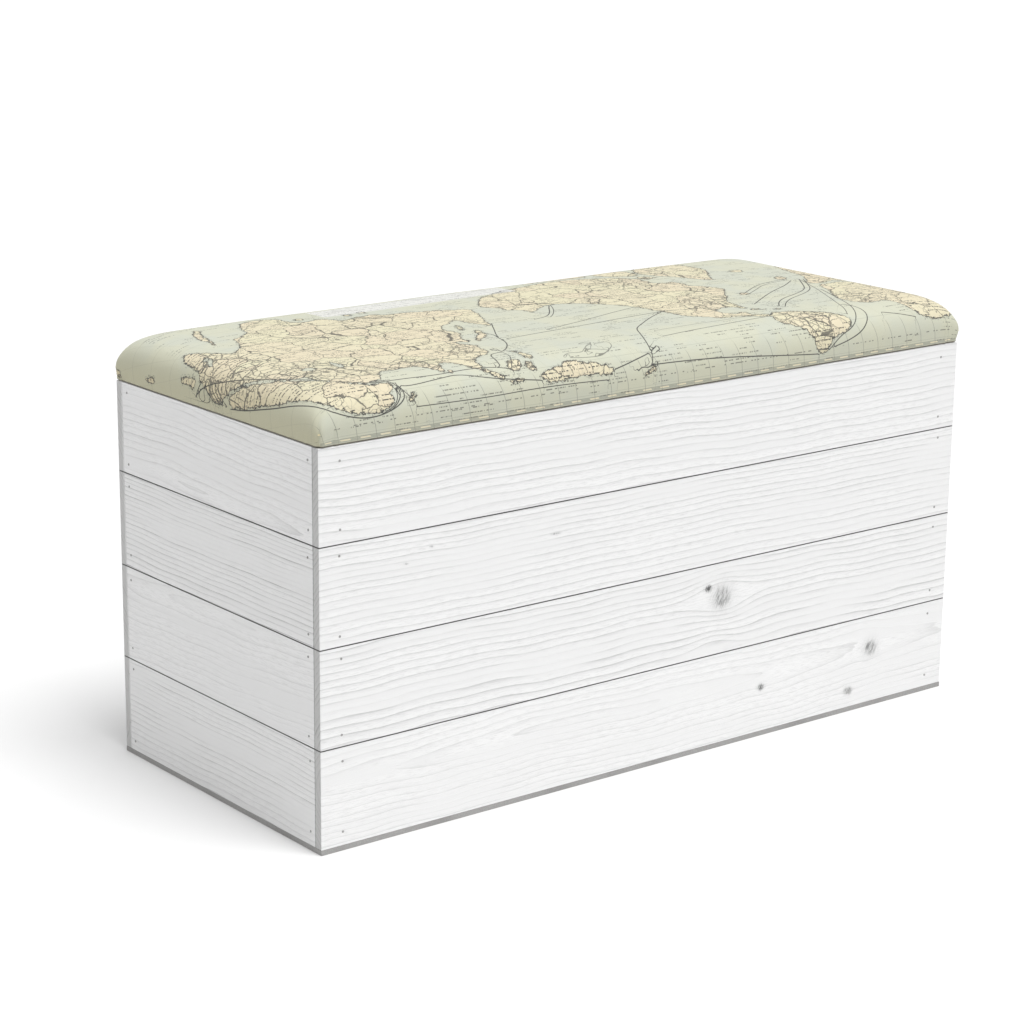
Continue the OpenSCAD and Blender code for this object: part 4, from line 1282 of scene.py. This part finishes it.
def build_lining():
    """The cotton sheet under the lid, with a doubled hem and small dents at its staples."""
    low, high = corners("lid_lining")
    columns, rows = 156, 62
    x, y = np.linspace(low[0], high[0], columns), np.linspace(low[1], high[1], rows)
    place_x, place_y = np.meshgrid(x, y, indexing="ij")
    inset_x = np.minimum(place_x - low[0], high[0] - place_x)
    inset_y = np.minimum(place_y - low[1], high[1] - place_y)
    inset = np.minimum(inset_x, inset_y)
    slack = 0.10 * np.sin(place_x / 23 + 0.8 * np.sin(place_y / 31)) * step(inset, 8, 30)
    hem = 0.18 * (1 - step(inset, 9, 10.5))
    staples = clusters("lining_staples", lambda points: points[:, 2] < low[2], reach=11.0)
    dent = np.zeros_like(slack)
    for centre in staples:
        away = (place_x - centre[0]) ** 2 + (place_y - centre[1]) ** 2
        dent = np.maximum(dent, 0.22 * np.exp(-away / 30))
    bottom = low[2] + 0.25 + slack - hem + dent
    under = np.stack([place_x, place_y, bottom], -1).reshape(-1, 3)
    over = np.stack([place_x, place_y, np.full_like(bottom, high[2] - 0.02)], -1).reshape(-1, 3)
    count = columns * rows
    faces = [face[::-1] for face in grid_faces(columns, rows)]
    faces += [[i + count for i in face] for face in grid_faces(columns, rows)]
    edge = rim(np.arange(count).reshape(columns, rows, 1))[:, 0]
    ahead = np.roll(edge, -1)
    faces += np.stack([edge, ahead, ahead + count, edge + count], -1).tolist()
    made = mesh_object("cotton_lining", np.vstack([under, over]), faces, [lining_cloth("lining_cloth")])
    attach(made, "lid")
    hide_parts("lid_lining")


# ---------- CAD pieces that keep their shape ----------


def dress(names, material, bevel_mm=0.0):
    """Gives CAD nodes a material, and rounds their sharp edges a little."""
    for name in names:
        made = NODES[name]
        made.data.materials.clear()
        made.data.materials.append(material)
        if bevel_mm:
            edge = made.modifiers.new("eased edges", "BEVEL")
            edge.width = bevel_mm * MM
            edge.segments = 2
            edge.limit_method = "ANGLE"
            edge.angle_limit = math.radians(50)
            edge.use_clamp_overlap = False


def dress_hardware():
    """Materials of the posts, the rail, the boards, the hinges, the stay and all fasteners."""
    sides = ("left", "right")
    posts = [f"{end}_{side}_post" for end in ("front", "back") for side in sides]
    dress(posts, raw_pine("post_pine", 2), 0.8)
    dress(["hinge_rail"], raw_pine("rail_pine", 0), 0.6)
    dress(["lid_board"], plywood("plywood"))
    dress(["base_panel"], hardboard("hardboard"))
    nails = [f"{wall}_nails" for wall in ("front", "back", "left", "right")]
    dress(nails + ["base_pins"], metal("nail_steel", (0.38, 0.38, 0.37), (0.24, 0.235, 0.225), 0.5, 0.4))
    screws = ["hinge_box_screws", "hinge_lid_screws", "hinge_rail_screws", "stay_bracket_screws"]
    dress(screws, metal("zinc", (0.72, 0.72, 0.70), (0.52, 0.53, 0.52), 0.34))
    brass = metal("brass", (0.78, 0.58, 0.26), (0.58, 0.41, 0.17), 0.32)
    dress([f"{side}_hinge_{part}" for side in sides for part in ("box_leaf", "lid_leaf")], brass, 0.25)
    dress([f"{side}_hinge_pin" for side in sides], brass, 0.15)
    wire = metal("staple_wire", (0.66, 0.66, 0.65), (0.46, 0.46, 0.45), 0.3)
    dress(["cover_staples", "lining_staples"], wire, 0.12)
    steel = metal("stay_steel", (0.62, 0.62, 0.61), (0.44, 0.44, 0.43), 0.36)
    dress(["stay_bracket", "stay_arm"], steel, 0.25)
    rivet = metal("rivet_steel", (0.50, 0.50, 0.49), (0.34, 0.34, 0.33), 0.3)
    dress(["stay_rivet", "stay_stud"], rivet, 0.25)
    dress(["stay_spacer"], nylon("nylon"), 0.3)


# ---------- floor, light and camera ----------


def build_floor():
    """A wide white floor just under the box."""
    wide = 30000.0
    level = -0.2
    corners_of_floor = [(x * wide, y * wide, level) for x, y in ((-1, -1), (1, -1), (1, 1), (-1, 1))]
    p = Paint("floor_white", roughness=0.9)
    dust = p.noise(p.place(), 3.0, 2.0)
    material = p.finish(p.mix((0.82, 0.82, 0.82), (0.84, 0.84, 0.84), dust))
    mesh_object("floor", np.array(corners_of_floor), [[0, 1, 2, 3]], [material])


def light_scene():
    """A soft sky, brightest overhead, and a broad soft key from above and in front."""
    world = bpy.data.worlds.new("studio")
    bpy.context.scene.world = world
    world.use_nodes = True
    tree = world.node_tree
    toward = tree.nodes.new("ShaderNodeTexCoord")
    height = tree.nodes.new("ShaderNodeSeparateXYZ")
    level = tree.nodes.new("ShaderNodeMapRange")
    level.inputs["To Min"].default_value = 0.10
    level.inputs["To Max"].default_value = 1.00
    tree.links.new(toward.outputs["Generated"], height.inputs[0])
    tree.links.new(height.outputs["Z"], level.inputs["Value"])
    tree.links.new(level.outputs["Result"], tree.nodes["Background"].inputs["Strength"])
    tree.nodes["Background"].inputs["Color"].default_value = (1.0, 1.0, 1.0, 1.0)
    key = bpy.data.lights.new("key", "SUN")
    key.energy = 2.15
    key.angle = math.radians(34)
    holder = bpy.data.objects.new("key", key)
    holder.rotation_euler = Vector((0.07, -0.27, 0.62)).to_track_quat("Z", "Y").to_euler()
    bpy.context.scene.collection.objects.link(holder)


# The camera: turned this far round the box, raised and rolled, at this place
CAMERA_AZIMUTH, CAMERA_HEIGHT, CAMERA_ROLL = (math.radians(a) for a in (-38.238, 15.103, 0.597))
CAMERA_PLACE = Vector((-1785.4, -2197.1, 996.6)) * MM
CAMERA_LENS = 95.73


def place_camera():
    """A camera at the photograph's angle, with no shift."""
    data = bpy.data.cameras.new("camera")
    data.lens = CAMERA_LENS
    data.sensor_width = 36.0
    data.clip_start, data.clip_end = 0.1, 100.0
    flat = math.cos(CAMERA_HEIGHT)
    back = Vector((
        math.sin(CAMERA_AZIMUTH) * flat,
        -math.cos(CAMERA_AZIMUTH) * flat,
        math.sin(CAMERA_HEIGHT),
    ))
    right = (-back).cross(Vector((0, 0, 1))).normalized()
    up = right.cross(-back)
    across = right * math.cos(CAMERA_ROLL) + up * math.sin(CAMERA_ROLL)
    over = up * math.cos(CAMERA_ROLL) - right * math.sin(CAMERA_ROLL)
    turn = Matrix((across, over, back)).transposed().to_4x4()
    camera = bpy.data.objects.new("camera", data)
    camera.matrix_world = Matrix.Translation(CAMERA_PLACE) @ turn
    bpy.context.scene.collection.objects.link(camera)
    bpy.context.scene.camera = camera


place_camera()
build_planks()
build_cover()
build_foam()
build_lining()
dress_hardware()
build_floor()
light_scene()
bpy.context.scene.view_settings.view_transform = "Standard"
